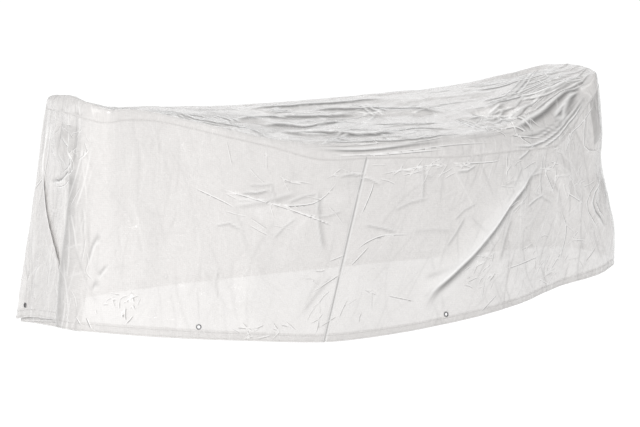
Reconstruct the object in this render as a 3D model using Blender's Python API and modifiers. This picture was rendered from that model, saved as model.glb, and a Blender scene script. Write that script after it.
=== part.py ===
"""A fitted cover of clear woven film, hanging in folds from a long raised top.

Metres, +Z up, +X along the cover. The origin is on the underside of the top, at its middle.
The top sags between two raised ends. A skirt in two lengths hangs from a seam just under the
top's edge, and each length ends in a hem strip with eyelets. On the left end the skirt's spare
cloth lies in a box pleat, and the corners hold soft doubled flaps.
"""

import math

import bpy
import numpy as np
from mathutils import Matrix, Vector

# Driving sizes ------------------------------------------------------------------------------
SHEET = 0.002  # thickness of the film as built
GAP = 0.0003  # clear space between neighbouring pieces
SEAM_GAP = 0.0006  # clear space along a seam, where the two edges meet at a slight angle
LIFT = 0.768  # height of the origin above the ground, which the heights below start from
RIM = 0.052  # how far inwards the top's turned-down rim reaches
STRIP_SHARE = 0.9  # share of the skirt's height at which the hem strip starts
EYELET_SHARE = 0.942  # share of the skirt's height at which the eyelets sit
EYELET_PATCH = 0.012  # half the side of the flat patch that holds an eyelet
EYELET_HOLE = 0.0048
EYELET_BARREL = 0.0052
EYELET_FLANGE = 0.0082
EYELET_PLATE = 0.0006
EYELET_STEPS = 16
CUT_RADIUS = 0.0059
EYELET_ROW = 1  # number of the strip's row of faces that holds the eyelets
SHORTEST = 0.53  # the skirt's shortest and typical lengths from seam to hem
TYPICAL = 0.6
FRONT_STEPS = 20  # steps of each half of the front and back, of an end, and down the skirt
BACK_STEPS = 20
END_STEPS = 15
SKIRT_ROWS = 13
RIM_TURNS = (0.0, 0.2, 0.42, 0.68)  # where the rings of the rim lie on their curve

# The ring of stations around the cover, from the front seam by the left end: the seam under
# the top's edge, the hem, and how high the edge rises above the seam before it turns inwards.
RING_COLUMNS = ("name", "seam_x", "seam_y", "seam_z", "hem_x", "hem_y", "hem_z", "rise")
RING = (
    ("front_join", -0.108, -0.362, 0.712, -0.318, -0.484, 0.178, 0.055),
    ("front_2", -0.270, -0.360, 0.720, -0.420, -0.461, 0.184, 0.052),
    ("front_3", -0.420, -0.335, 0.765, -0.515, -0.431, 0.191, 0.030),
    ("front_4", -0.550, -0.305, 0.800, -0.605, -0.400, 0.197, 0.028),
    ("front_5", -0.665, -0.262, 0.832, -0.695, -0.365, 0.203, 0.026),
    ("front_6", -0.755, -0.234, 0.853, -0.785, -0.315, 0.208, 0.030),
    ("front_7", -0.840, -0.222, 0.860, -0.865, -0.266, 0.213, 0.036),
    ("left_near", -0.903, -0.208, 0.854, -0.940, -0.213, 0.218, 0.044),
    ("left_2", -0.935, -0.150, 0.858, -0.985, -0.145, 0.217, 0.058),
    ("left_3", -0.948, -0.060, 0.862, -1.003, -0.060, 0.213, 0.062),
    ("left_pleat", -0.952, 0.030, 0.862, -1.008, 0.030, 0.203, 0.056),
    ("left_5", -0.945, 0.150, 0.856, -1.020, 0.160, 0.190, 0.050),
    ("left_far", -0.927, 0.236, 0.846, -1.034, 0.262, 0.180, 0.044),
    ("back_1", -0.865, 0.268, 0.834, -0.980, 0.335, 0.184, 0.040),
    ("back_2", -0.740, 0.302, 0.800, -0.840, 0.385, 0.190, 0.040),
    ("back_3", -0.500, 0.345, 0.775, -0.580, 0.430, 0.195, 0.045),
    ("back_4", -0.220, 0.362, 0.762, -0.250, 0.465, 0.195, 0.050),
    ("back_join", 0.100, 0.365, 0.764, 0.080, 0.475, 0.195, 0.050),
    ("back_6", 0.380, 0.352, 0.774, 0.380, 0.455, 0.200, 0.048),
    ("back_7", 0.620, 0.318, 0.795, 0.660, 0.405, 0.210, 0.045),
    ("back_8", 0.800, 0.278, 0.832, 0.860, 0.340, 0.225, 0.042),
    ("right_far", 0.892, 0.240, 0.850, 0.965, 0.265, 0.238, 0.046),
    ("right_2", 0.922, 0.160, 0.856, 1.005, 0.160, 0.243, 0.052),
    ("right_3", 0.928, 0.050, 0.860, 1.012, 0.050, 0.246, 0.052),
    ("right_4", 0.912, -0.060, 0.860, 0.992, -0.055, 0.248, 0.050),
    ("right_near", 0.866, -0.146, 0.850, 0.932, -0.155, 0.247, 0.048),
    ("front_8", 0.800, -0.178, 0.795, 0.845, -0.225, 0.241, 0.036),
    ("front_9", 0.735, -0.207, 0.742, 0.755, -0.260, 0.234, 0.044),
    ("front_10", 0.660, -0.242, 0.692, 0.655, -0.284, 0.227, 0.055),
    ("front_11", 0.570, -0.272, 0.684, 0.545, -0.336, 0.219, 0.058),
    ("front_12", 0.470, -0.303, 0.689, 0.410, -0.402, 0.208, 0.056),
    ("front_13", 0.360, -0.332, 0.691, 0.250, -0.446, 0.196, 0.054),
    ("front_14", 0.220, -0.352, 0.693, 0.070, -0.471, 0.185, 0.054),
    ("front_15", 0.050, -0.360, 0.703, -0.130, -0.487, 0.178, 0.054),
)

# The top between its rims: heights at the front edge, the middle and the back edge.
TOP_COLUMNS = ("x", "front", "middle", "back")
TOP_SECTIONS = (
    (-0.90, 0.872, 0.892, 0.872),
    (-0.86, 0.872, 0.880, 0.863),
    (-0.80, 0.866, 0.860, 0.846),
    (-0.70, 0.847, 0.841, 0.831),
    (-0.55, 0.811, 0.817, 0.819),
    (-0.40, 0.779, 0.796, 0.810),
    (-0.25, 0.757, 0.778, 0.801),
    (-0.05, 0.750, 0.769, 0.801),
    (0.15, 0.748, 0.770, 0.807),
    (0.30, 0.748, 0.778, 0.813),
    (0.45, 0.754, 0.794, 0.820),
    (0.60, 0.778, 0.816, 0.830),
    (0.72, 0.815, 0.844, 0.844),
    (0.82, 0.854, 0.874, 0.862),
    (0.88, 0.876, 0.892, 0.874),
)

# The box pleat in the left end, as a row for each bend of the cloth. The across columns give
# the distance from the pleat's middle towards the back, at five levels from the seam to the
# hem, and the depth columns how far that bend stands out from the end, high up and low down.
PLEAT_LEVELS = (0.0, 0.25, 0.5, 0.72, 1.0)
PLEAT_COLUMNS = (
    "name", "steps", "seam", "upper", "middle", "lower", "hem", "depth_high", "depth_low", "drop",
)
PLEAT = (
    ("near_run", 0, -0.240, -0.240, -0.240, -0.240, -0.240, 0.000, 0.000, 0.000),
    ("near_out", 2, -0.180, -0.190, -0.180, -0.180, -0.170, 0.006, 0.008, 0.000),
    ("near_shoulder", 4, -0.085, -0.114, -0.114, -0.094, -0.094, 0.013, 0.015, 0.000),
    ("near_tip", 2, -0.055, -0.100, -0.100, -0.080, -0.080, 0.009, 0.011, 0.000),
    ("near_under", 2, -0.030, -0.114, -0.114, -0.094, -0.094, 0.005, 0.007, 0.000),
    ("near_inner", 3, -0.010, -0.150, -0.175, -0.175, -0.155, -0.001, 0.001, 0.002),
    ("near_turn", 2, 0.005, -0.162, -0.190, -0.190, -0.169, -0.005, -0.006, 0.004),
    ("bed_near", 2, 0.020, -0.150, -0.175, -0.175, -0.155, -0.009, -0.013, 0.006),
    ("bed_far", 5, 0.055, 0.118, 0.140, 0.160, 0.180, -0.004, -0.013, 0.008),
    ("far_turn", 2, 0.075, 0.131, 0.154, 0.174, 0.194, -0.003, -0.009, 0.007),
    ("far_inner", 2, 0.095, 0.142, 0.140, 0.160, 0.180, -0.002, -0.005, 0.006),
    ("far_under", 4, 0.115, 0.151, 0.091, -0.022, -0.047, -0.001, -0.004, -0.012),
    ("far_tip", 2, 0.135, 0.160, 0.077, -0.036, -0.061, 0.000, -0.001, -0.016),
    ("far_shoulder", 2, 0.157, 0.170, 0.091, -0.022, -0.047, 0.000, 0.002, -0.018),
    ("far_out", 4, 0.185, 0.194, 0.180, 0.150, 0.130, 0.000, 0.004, -0.013),
    ("far_run", 3, 0.225, 0.225, 0.225, 0.225, 0.225, 0.000, 0.000, 0.000),
)
PLEAT_OPEN = (0.02, 0.24)  # levels between which the near fold opens out
PLEAT_DEEP = (0.30, 0.60)  # levels between which the far fold takes its depth

# Eyelets: the station that each one sits at or after, and how far along from it.
EYELETS = (
    ("eyelet_1", "front_5", -0.015),
    ("eyelet_2", "left_5", 0.035),
    ("eyelet_3", "back_4", -0.200),
    ("eyelet_4", "back_7", 0.000),
    ("eyelet_5", "right_3", 0.000),
    ("eyelet_6", "front_14", -0.038),
)

# Swellings and hollows of the skirt: the station that each one sits at or after and how far
# along from it, half its width, the levels it spans, the share of them at which it is highest,
# and its height outwards.
SWELL_COLUMNS = ("name", "station", "further", "half_width", "top", "bottom", "peak", "height")
SWELLS = (
    ("end_pouch", "left_pleat", 0.000, 0.105, 0.05, 0.255, 0.72, 0.018),
    ("corner_pouch", "right_near", 0.040, 0.055, 0.00, 0.270, 0.80, 0.009),
    ("right_waist", "right_near", -0.020, 0.150, 0.25, 0.640, 0.50, -0.015),
    ("right_swell", "right_near", -0.020, 0.170, 0.58, 1.020, 0.50, 0.014),
)

CREASE_COLUMNS = ("name", "x0", "second0", "x1", "second1", "width", "height")
# Ridges and troughs of the top, from one end (x, y) to the other.
TOP_CREASES = (
    ("fan_1", 0.880, -0.085, 0.420, -0.070, 0.030, 0.012),
    ("fan_2", 0.840, -0.125, 0.400, -0.290, 0.030, 0.012),
    ("fan_3", 0.800, -0.165, 0.520, -0.285, 0.028, 0.009),
    ("fan_far", 0.860, 0.230, 0.560, -0.040, 0.030, 0.009),
    ("fan_hollow", 0.410, -0.080, 0.640, -0.200, 0.030, -0.007),
    ("streak_1", -0.020, 0.200, 0.370, -0.010, 0.030, 0.008),
    ("streak_2", -0.420, 0.010, -0.070, 0.120, 0.030, 0.008),
    ("streak_3", -0.360, -0.030, -0.070, -0.015, 0.030, -0.007),
    ("streak_4", -0.370, -0.180, 0.080, -0.185, 0.030, 0.008),
    ("left_band", -0.600, 0.120, -0.390, -0.310, 0.030, 0.008),
)
# Ridges and troughs of the front, from one end (x, z above the ground) to the other.
FRONT_CREASES = (
    ("long_fold", 0.610, 0.640, 0.000, 0.220, 0.042, 0.018),
    ("drag_1", -0.600, 0.655, -0.250, 0.525, 0.036, 0.008),
    ("drag_2", -0.420, 0.580, -0.120, 0.655, 0.036, 0.007),
    ("left_hang", -0.800, 0.600, -0.870, 0.260, 0.045, 0.010),
    ("middle_hang", -0.480, 0.470, -0.560, 0.210, 0.045, 0.008),
    ("right_tuck", 0.650, 0.650, 0.730, 0.440, 0.036, 0.009),
)
FRONT_FACING = -0.3  # the front is where the outward direction's Y is under this
CREASE_FADE = 0.3  # share of a crease's length over which it fades at each end


def column(rows, names, name):
    """One named column of a table, as an array."""
    index = names.index(name)
    return np.array([row[index] for row in rows], float)


def smooth(share):
    """An ease from 0 to 1: 3t squared less 2t cubed."""
    t = np.clip(share, 0.0, 1.0)
    return t * t * (3.0 - 2.0 * t)


def curve_through(knots, values, at):
    """A smooth curve through values at rising knots: cubic, with three-point slopes."""
    knots = np.asarray(knots, float)
    values = np.asarray(values, float)
    steps = np.diff(knots)
    rises = np.diff(values, axis=0) / steps.reshape((-1,) + (1,) * (values.ndim - 1))
    before = steps[:-1].reshape((-1,) + (1,) * (values.ndim - 1))
    after = steps[1:].reshape((-1,) + (1,) * (values.ndim - 1))
    inner = (rises[:-1] * after + rises[1:] * before) / (before + after)
    slopes = np.concatenate([rises[:1], inner, rises[-1:]])
    span = np.clip(np.searchsorted(knots, at, side="right") - 1, 0, len(steps) - 1)
    shape = np.shape(at) + (1,) * (values.ndim - 1)
    width = steps[span].reshape(shape)
    t = ((at - knots[span]) / steps[span]).reshape(shape)
    start = (2 * t**3 - 3 * t**2 + 1) * values[span] + (t**3 - 2 * t**2 + t) * width * slopes[span]
    end = (3 * t**2 - 2 * t**3) * values[span + 1] + (t**3 - t**2) * width * slopes[span + 1]
    return start + end


# The ring --------------------------------------------------------------------------------------
GROUND = np.array([0.0, 0.0, LIFT])
SEAM_RING = np.stack([column(RING, RING_COLUMNS, "seam_" + axis) for axis in "xyz"], axis=1) - GROUND
HEM_RING = np.stack([column(RING, RING_COLUMNS, "hem_" + axis) for axis in "xyz"], axis=1) - GROUND
RISES = column(RING, RING_COLUMNS, "rise")
HEM_STEPS = np.linalg.norm(np.roll(HEM_RING, -1, axis=0) - HEM_RING, axis=1)
AROUND = float(HEM_STEPS.sum())  # length of the hem's ring
STATION_ALONG = np.concatenate([[0.0], np.cumsum(HEM_STEPS)[:-1]])
WRAP = 3  # stations repeated at each end, so that the curve closes smoothly


def along_of(name):
    """How far along the ring a named station lies."""
    names = [row[0] for row in RING]
    return float(STATION_ALONG[names.index(name)])


def ring_at(values, along):
    """A quantity given at the stations, read anywhere along the closed ring."""
    knots = np.concatenate([STATION_ALONG[-WRAP:] - AROUND, STATION_ALONG, STATION_ALONG[:WRAP] + AROUND])
    looped = np.concatenate([values[-WRAP:], values, values[:WRAP]])
    return curve_through(knots, looped, np.mod(along, AROUND))


def outward_at(along):
    """The level direction that points away from the cover: the ring's tangent, turned left."""
    step = 0.01
    middle = 0.5 * (SEAM_RING + HEM_RING)
    tangent = ring_at(middle, along + step) - ring_at(middle, along - step)
    outward = np.stack([-tangent[..., 1], tangent[..., 0], np.zeros(tangent.shape[:-1])], axis=-1)
    return outward / np.linalg.norm(outward, axis=-1, keepdims=True)


def crease_height(first, second, creases):
    """The sum of soft ridges: height by a bell curve of the distance, fading at both ends."""
    total = np.zeros(np.shape(first))
    for _, x0, second0, x1, second1, width, height in creases:
        length = math.hypot(x1 - x0, second1 - second0)
        run = ((first - x0) * (x1 - x0) + (second - second0) * (second1 - second0)) / length
        side = ((first - x0) * (second1 - second0) - (second - second0) * (x1 - x0)) / length
        fade = smooth(run / (CREASE_FADE * length)) * smooth((length - run) / (CREASE_FADE * length))
        total = total + height * fade * np.exp(-((side / width) ** 2))
    return total


def swell_height(along, level):
    """The sum of the skirt's swellings: a bell across, an ease up to the peak and down from it."""
    total = np.zeros(np.shape(along))
    for _, station, further, half_width, top, bottom, peak, height in SWELLS:
        across = (along - along_of(station) - further) / half_width
        down = (level - top) / (bottom - top)
        bell = np.clip(1.0 - across**2, 0.0, 1.0) ** 2
        total = total + height * bell * smooth(down / peak) * smooth((1.0 - down) / (1.0 - peak))
    return total


def skirt_points(along, level, depth, drop):
    """Points of the skirt: straight from seam to hem by level, stood out by depth, lowered by drop."""
    seam = ring_at(SEAM_RING, along)
    hem = ring_at(HEM_RING, along)
    points = seam + (hem - seam) * level[..., None]
    outward = outward_at(along)
    ridge = np.where(
        outward[..., 1] < FRONT_FACING,
        crease_height(points[..., 0], points[..., 2] + LIFT, FRONT_CREASES),
        0.0,
    )
    ridge = ridge + swell_height(along, level)
    points = points + outward * (depth + ridge)[..., None]
    points[..., 2] -= drop
    return points


def skirt_columns(plain_before, pleat_rows, plain_after, levels):
    """Along, depth and drop for each level and column of one length of the skirt."""
    rows, columns = len(levels), len(plain_before) + len(pleat_rows) + len(plain_after)
    along = np.zeros((rows, columns))
    depth = np.zeros((rows, columns))
    drop = np.zeros((rows, columns))
    before = len(plain_before)
    after = before + len(pleat_rows)
    along[:, :before] = plain_before
    along[:, after:] = plain_after
    if len(pleat_rows):
        bends = np.arange(len(PLEAT), dtype=float)
        across = np.stack([column(PLEAT, PLEAT_COLUMNS, name) for name in PLEAT_COLUMNS[2:7]])
        across_here = curve_through(bends, across.T, pleat_rows).T
        across_levels = curve_through(PLEAT_LEVELS, across_here, levels)
        along[:, before:after] = along_of("left_pleat") + across_levels
        high = curve_through(bends, column(PLEAT, PLEAT_COLUMNS, "depth_high"), pleat_rows)
        low = curve_through(bends, column(PLEAT, PLEAT_COLUMNS, "depth_low"), pleat_rows)
        sag = curve_through(bends, column(PLEAT, PLEAT_COLUMNS, "drop"), pleat_rows)
        opened = smooth((levels - PLEAT_OPEN[0]) / (PLEAT_OPEN[1] - PLEAT_OPEN[0]))[:, None]
        deep = smooth((levels - PLEAT_DEEP[0]) / (PLEAT_DEEP[1] - PLEAT_DEEP[0]))[:, None]
        depth[:, before:after] = opened * (high * (1.0 - deep) + low * deep)
        drop[:, before:after] = sag * smooth(2.0 * levels - 1.0)[:, None]
    return along, depth, drop


def spread(start, end, count, power):
    """Count steps from start to end, closer together at the start for a power over 1."""
    return start + (end - start) * np.linspace(0.0, 1.0, count + 1) ** power


# The top -------------------------------------------------------------------------------------
def top_height(x, share):
    """Height at a length x and a share across, 0 at the front and 1 at the back: a parabola
    through the section's three heights."""
    knots = column(TOP_SECTIONS, TOP_COLUMNS, "x")
    heights = np.stack([column(TOP_SECTIONS, TOP_COLUMNS, name) for name in TOP_COLUMNS[1:]], axis=1)
    front, middle, back = np.moveaxis(curve_through(knots, heights, np.clip(x, knots[0], knots[-1])), -1, 0)
    ends = front * (1 - share) * (1 - 2 * share) + back * share * (2 * share - 1)
    return ends + middle * 4 * share * (1 - share) - LIFT


def inner_ring(along):
    """Plan of the line where the rim ends: the seam moved inwards by the rim's reach."""
    inner = ring_at(SEAM_RING, along) - outward_at(along) * RIM
    inner[..., 2] = 0.0
    return inner


def top_grid(front, back, left, right):
    """The top's inner points: a Coons patch between four rows of the inner ring, then the heights."""
    near_side, far_side = inner_ring(front)[:, None], inner_ring(back)[:, None]
    left_side, right_side = inner_ring(left)[None], inner_ring(right)[None]
    run = np.linspace(0.0, 1.0, len(front))[:, None, None]
    over = np.linspace(0.0, 1.0, len(left))[None, :, None]
    near_corners = near_side[:1] * (1 - run) + near_side[-1:] * run
    far_corners = far_side[:1] * (1 - run) + far_side[-1:] * run
    corners = near_corners * (1 - over) + far_corners * over
    points = near_side * (1 - over) + far_side * over + left_side * (1 - run) + right_side * run - corners
    share = np.broadcast_to(over[..., 0], points.shape[:2])
    points[..., 2] = top_height(points[..., 0], share)
    points[..., 2] += crease_height(points[..., 0], points[..., 1], TOP_CREASES)
    return points


def rim_points(along, inner, turns):
    """The rim: a quadratic curve from the seam, over a point straight above it, to the inner ring."""
    seam = ring_at(SEAM_RING, along)
    upward = seam - ring_at(HEM_RING, along)
    upward /= np.linalg.norm(upward, axis=1, keepdims=True)
    over = seam + upward * ring_at(RISES, along)[:, None]
    t = turns[:, None, None]
    points = (1 - t) ** 2 * seam + 2 * t * (1 - t) * over + t**2 * inner
    points[..., 2] += t[..., 0] * crease_height(points[..., 0], points[..., 1], TOP_CREASES)
    return points


# Objects -------------------------------------------------------------------------------------
def clear_scene():
    """Removes whatever the scene holds."""
    for item in list(bpy.data.objects):
        bpy.data.objects.remove(item, do_unlink=True)


def plain_material(name, colour, roughness, metallic, alpha=1.0):
    """A Principled material."""
    material = bpy.data.materials.new(name)
    material.use_nodes = True
    shader = material.node_tree.nodes["Principled BSDF"]
    shader.inputs["Base Color"].default_value = (*colour, 1.0)
    shader.inputs["Roughness"].default_value = roughness
    shader.inputs["Metallic"].default_value = metallic
    shader.inputs["Alpha"].default_value = alpha
    return material


def sheet_object(name, points, faces, material, collection):
    """An open surface that Solidify gives the film's thickness."""
    mesh = bpy.data.meshes.new(name)
    mesh.from_pydata(points.tolist(), [], faces)
    mesh.materials.append(material)
    mesh.shade_smooth()
    item = bpy.data.objects.new(name, mesh)
    collection.objects.link(item)
    thick = item.modifiers.new("thickness", "SOLIDIFY")
    thick.thickness = SHEET
    thick.offset = 0.0
    return item


def grid_faces(rows, columns, start=0):
    """Quads of a grid of rows and columns, numbered row by row from start."""
    row, place = np.meshgrid(np.arange(rows - 1), np.arange(columns - 1), indexing="ij")
    corner = (start + row * columns + place).ravel()
    return np.stack([corner, corner + 1, corner + columns + 1, corner + columns], axis=1).tolist()


def make_top(columns, material, collection):
    """The top panel: an inner grid, and rings of rim around it."""
    front, back, left, right = columns
    inner = top_grid(front, back, left, right)
    rows, across = inner.shape[:2]
    faces = grid_faces(rows, across)
    faces = [face[::-1] for face in faces]
    numbers = np.arange(rows * across).reshape(rows, across)
    loop = np.concatenate([numbers[0, :-1], numbers[:-1, -1], numbers[-1, :0:-1], numbers[:0:-1, 0]])
    along = np.concatenate([left[:-1], back[:-1], right[:0:-1], front[:0:-1]])
    flat = inner.reshape(-1, 3)
    turns = np.array(RIM_TURNS)
    seam_step = SEAM_GAP / ring_at(RISES, along) / 2.0
    rings = rim_points(along, flat[loop], turns)
    rings[0] += (rings[1] - rings[0]) * (seam_step / turns[1])[:, None]
    count = len(loop)
    points = np.concatenate([flat, rings.reshape(-1, 3)])
    base = rows * across
    ring_numbers = [base + turn * count + np.arange(count) for turn in range(len(turns))] + [loop]
    for lower, upper in zip(ring_numbers[:-1], ring_numbers[1:]):
        quads = np.stack([lower, upper, np.roll(upper, -1), np.roll(lower, -1)], axis=1)
        faces += quads.tolist()
    return sheet_object("panel_top", points, faces, material, collection)


def make_skirt(name, columns, levels, material, collection):
    """One length of the skirt, or of its hem strip, between the first and last level."""
    along, depth, drop = skirt_columns(*columns, levels)
    level = np.broadcast_to(levels[:, None], along.shape)
    points = skirt_points(along, level, depth, drop)
    item = sheet_object(name, points.reshape(-1, 3), grid_faces(*along.shape), material, collection)
    return item, points


def with_patches(columns, places):
    """The columns with two more for each eyelet, a patch apart, and each first one's number."""
    before, pleat_rows, after = columns
    bends = np.linspace(0.0, len(PLEAT) - 1.0, 1501)
    across = curve_through(np.arange(len(PLEAT), dtype=float), column(PLEAT, PLEAT_COLUMNS, "hem"), bends)
    last_run = bends > len(PLEAT) - 2.5
    firsts = []
    for place in places:
        pair = place + EYELET_PATCH * np.array([-1.0, 1.0])
        if before[0] < place < before[-1]:
            before = add_pair(before, pair)
        elif after[0] < place < after[-1]:
            after = add_pair(after, pair)
        else:
            shares = np.interp(pair - along_of("left_pleat"), across[last_run], bends[last_run])
            pleat_rows = add_pair(pleat_rows, shares)
    whole = np.concatenate([before, pleat_rows, after])
    for place in places:
        pair = place - EYELET_PATCH
        if before[0] < place < before[-1] or after[0] < place < after[-1]:
            firsts.append(int(np.argmin(np.abs(whole - pair))))
        else:
            share = np.interp(pair - along_of("left_pleat"), across[last_run], bends[last_run])
            firsts.append(len(before) + int(np.argmin(np.abs(pleat_rows - share))))
    return (before, pleat_rows, after), firsts


def add_pair(values, pair):
    """Sorted values with a pair put in, less those between or very near the two."""
    room = 0.5 * (pair[1] - pair[0])
    kept = values[(values < pair[0] - room) | (values > pair[1] + room)]
    kept = np.union1d(kept, values[[0, -1]]) if len(values) else kept
    return np.sort(np.concatenate([kept, pair]))


def patch_frame(points, first):
    """Centre and outward direction of the flat patch that holds an eyelet."""
    corners = points[EYELET_ROW : EYELET_ROW + 2, first : first + 2]
    centre = corners.reshape(-1, 3).mean(axis=0)
    normal = np.cross(corners[0, 1] - corners[1, 0], corners[0, 0] - corners[1, 1])
    return centre, normal / np.linalg.norm(normal)


def turned(name, profile, steps, material, collection):
    """A closed profile of (radius, height) turned about its own Z axis by a Screw modifier."""
    mesh = bpy.data.meshes.new(name)
    count = len(profile)
    edges = [(i, (i + 1) % count) for i in range(count)]
    mesh.from_pydata([(radius, 0.0, height) for radius, height in profile], edges, [])
    mesh.materials.append(material)
    item = bpy.data.objects.new(name, mesh)
    collection.objects.link(item)
    screw = item.modifiers.new("turn", "SCREW")
    screw.steps = steps
    screw.render_steps = steps
    screw.use_merge_vertices = True
    screw.merge_threshold = 0.00001
    return item


def facing(centre, normal):
    """The matrix that puts a turned piece's Z axis along normal, at centre."""
    turn = Vector((0.0, 0.0, 1.0)).rotation_difference(Vector(normal)).to_matrix().to_4x4()
    return Matrix.Translation(Vector(centre)) @ turn


def make_eyelet(name, centre, normal, strip, materials, collections):
    """A metal eyelet, and the hole for it in its strip."""
    reach = SHEET / 2.0 + GAP
    profile = (
        (EYELET_FLANGE, reach + EYELET_PLATE),
        (EYELET_FLANGE, reach),
        (EYELET_BARREL, reach),
        (EYELET_BARREL, -reach),
        (EYELET_FLANGE, -reach),
        (EYELET_FLANGE, -reach - EYELET_PLATE),
        (EYELET_HOLE, -reach - EYELET_PLATE),
        (EYELET_HOLE, reach + EYELET_PLATE),
    )
    ring = turned(name, profile, EYELET_STEPS, materials, collections[0])
    ring.matrix_world = facing(centre, normal)
    bpy.ops.mesh.primitive_cylinder_add(vertices=20, radius=CUT_RADIUS, depth=10 * SHEET)
    cutter = bpy.context.object
    cutter.name = name + "_cutter"
    cutter.matrix_world = facing(centre, normal)
    cutter.hide_render = True
    cutter.display_type = "WIRE"
    for owner in list(cutter.users_collection):
        owner.objects.unlink(cutter)
    collections[1].objects.link(cutter)
    cut = strip.modifiers.new(name + "_hole", "BOOLEAN")
    cut.object = cutter
    cut.operation = "DIFFERENCE"
    cut.solver = "EXACT"


def pleat_steps():
    """Where the pleat's columns fall, counted in bends: each row's steps, evenly spaced."""
    counts = column(PLEAT, PLEAT_COLUMNS, "steps").astype(int)
    parts = [np.linspace(bend, bend + 1, count + 1)[:-1] for bend, count in enumerate(counts[1:])]
    return np.concatenate(parts + [np.array([len(counts) - 1.0])])


def main():
    """Builds the cover."""
    clear_scene()
    collection = bpy.data.collections.new("furniture_cover")
    cutters = bpy.data.collections.new("cutters")
    bpy.context.scene.collection.children.link(collection)
    bpy.context.scene.collection.children.link(cutters)
    film = plain_material("clear_film", (0.86, 0.86, 0.85), 0.32, 0.0, 0.55)
    metal = plain_material("dull_metal", (0.32, 0.32, 0.33), 0.4, 1.0)

    near, far = along_of("left_near"), along_of("left_far")
    right_far, right_near = along_of("right_far"), along_of("right_near")
    join = along_of("back_join")
    front_left = spread(near, 0.0, FRONT_STEPS, 1.3)[::-1]
    front_right = spread(right_near, AROUND, FRONT_STEPS, 1.3)
    back_left = spread(far, join, BACK_STEPS, 1.2)
    back_right = spread(right_far, join, BACK_STEPS, 1.2)[::-1]
    left = np.linspace(near, far, END_STEPS + 1)
    right = np.linspace(right_far, right_near, END_STEPS + 1)

    top_front = np.concatenate([front_left[::-1] + AROUND, front_right[-2::-1]])
    top_back = np.concatenate([back_left, back_right[1:]])
    make_top((top_front, top_back, left, right[::-1]), film, collection)

    empty = np.zeros(0)
    start_gap = SEAM_GAP / SHORTEST
    skirt_levels = np.linspace(start_gap, STRIP_SHARE, SKIRT_ROWS + 1)
    patch = EYELET_PATCH / TYPICAL
    strip_levels = np.array([STRIP_SHARE + start_gap, EYELET_SHARE - patch, EYELET_SHARE + patch, 1.0])
    half = 0.5 * GAP * np.array([1.0, -1.0])
    left_columns = (
        np.concatenate([front_left[:1] + half[0], front_left[1:]]),
        pleat_steps(),
        np.concatenate([back_left[:-1], back_left[-1:] + half[1]]),
    )
    right_columns = (
        np.concatenate([back_right[:1] + half[0], back_right[1:-1], right]),
        empty,
        np.concatenate([front_right[1:-1], front_right[-1:] + half[1]]),
    )
    places = {name: along_of(station) + further for name, station, further in EYELETS}
    for side, columns in (("left", left_columns), ("right", right_columns)):
        ours = [name for name, _, _ in EYELETS if (places[name] < join) == (side == "left")]
        full, firsts = with_patches(columns, [places[name] for name in ours])
        make_skirt("skirt_" + side, full, skirt_levels, film, collection)
        strip, points = make_skirt("hem_" + side, full, strip_levels, film, collection)
        for name, first in zip(ours, firsts):
            centre, normal = patch_frame(points, first)
            make_eyelet(name, centre, normal, strip, metal, (collection, cutters))


if __name__ == "__main__":
    main()
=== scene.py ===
"""A fitted cover of clear woven film that hangs in folds from a long raised top.

Metres, +Z up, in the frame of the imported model: the origin is on the underside of the top, and the
ground is LIFT below it. The film is three sheets: the top with its turned-down rim, which
laps over the skirt, and a left and a right length of skirt, each with a hem folded up inside. Every
sheet is a surface over two parameters. It starts from the ring of stations and the sections that
the cover is cut to. Soft folds, crisp creases, faceted crumples and crinkles are then added to it.
"""

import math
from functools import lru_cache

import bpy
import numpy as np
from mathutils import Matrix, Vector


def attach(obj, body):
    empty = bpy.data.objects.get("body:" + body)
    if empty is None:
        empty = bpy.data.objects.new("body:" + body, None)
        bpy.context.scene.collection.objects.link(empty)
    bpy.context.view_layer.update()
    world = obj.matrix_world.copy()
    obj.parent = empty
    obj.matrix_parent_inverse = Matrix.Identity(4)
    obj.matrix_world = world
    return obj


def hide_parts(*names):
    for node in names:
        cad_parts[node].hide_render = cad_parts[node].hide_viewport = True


bl_info = {
    "name": "Woven Film Furniture Cover",
    "version": (1, 0, 0),
    "blender": (4, 5, 0),
    "location": "View3D > Sidebar > Film Cover",
    "description": "Builds a draped cover of woven film with hems, seams, stitching and eyelets",
    "category": "Add Mesh",
}

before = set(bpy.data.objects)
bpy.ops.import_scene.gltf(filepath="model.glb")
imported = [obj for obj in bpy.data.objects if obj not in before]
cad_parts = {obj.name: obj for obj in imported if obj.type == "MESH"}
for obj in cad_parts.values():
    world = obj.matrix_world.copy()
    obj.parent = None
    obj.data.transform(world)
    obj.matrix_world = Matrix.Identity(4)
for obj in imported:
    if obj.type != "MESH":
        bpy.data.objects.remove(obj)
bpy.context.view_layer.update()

# Driving sizes --------------------------------------------------------
LIFT = 0.768  # height of the origin above the ground, which the tables' heights start from
RIM = 0.052  # how far inwards the top's turned-down rim reaches
RIM_ROUND = 1.5  # how far the rim is drawn out to its corner, where 1 is a plain round
RIM_CRISP = 0.8  # and how much further at the two ends
RIM_ROWS = 1.5  # rows of the rim's mesh to a step, because creases cross it aslant
RIM_CRISP_FROM = 0.40  # distance from the middle at which the ends' crisper rim begins
RIM_CRISP_EASE = 0.30  # and over which it comes in
RIM_LEAN_FROM = 0.15  # the rim's own parameter from which creases turn from outwards to upwards
RIM_LEAN_EASE = 0.6  # and over how much of it they turn
RIM_CALM = 0.006  # distance from the seam in which the rim's relief comes in
RIM_CLOTH = 1.02  # how much the rim's map of cloth is drawn out against its plan
TOP_LENGTH = 1.85  # rough length and width of the top inside its rim, which set how many rows and
TOP_WIDTH = 0.66  # columns its grid has
EYELET_SHARE = 0.942  # share of the skirt's height at which the eyelets sit
TYPICAL_DROP = 0.58  # usual length of the skirt from seam to hem
LAYER = 0.0009  # distance between two layers of film that are sewn together
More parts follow.
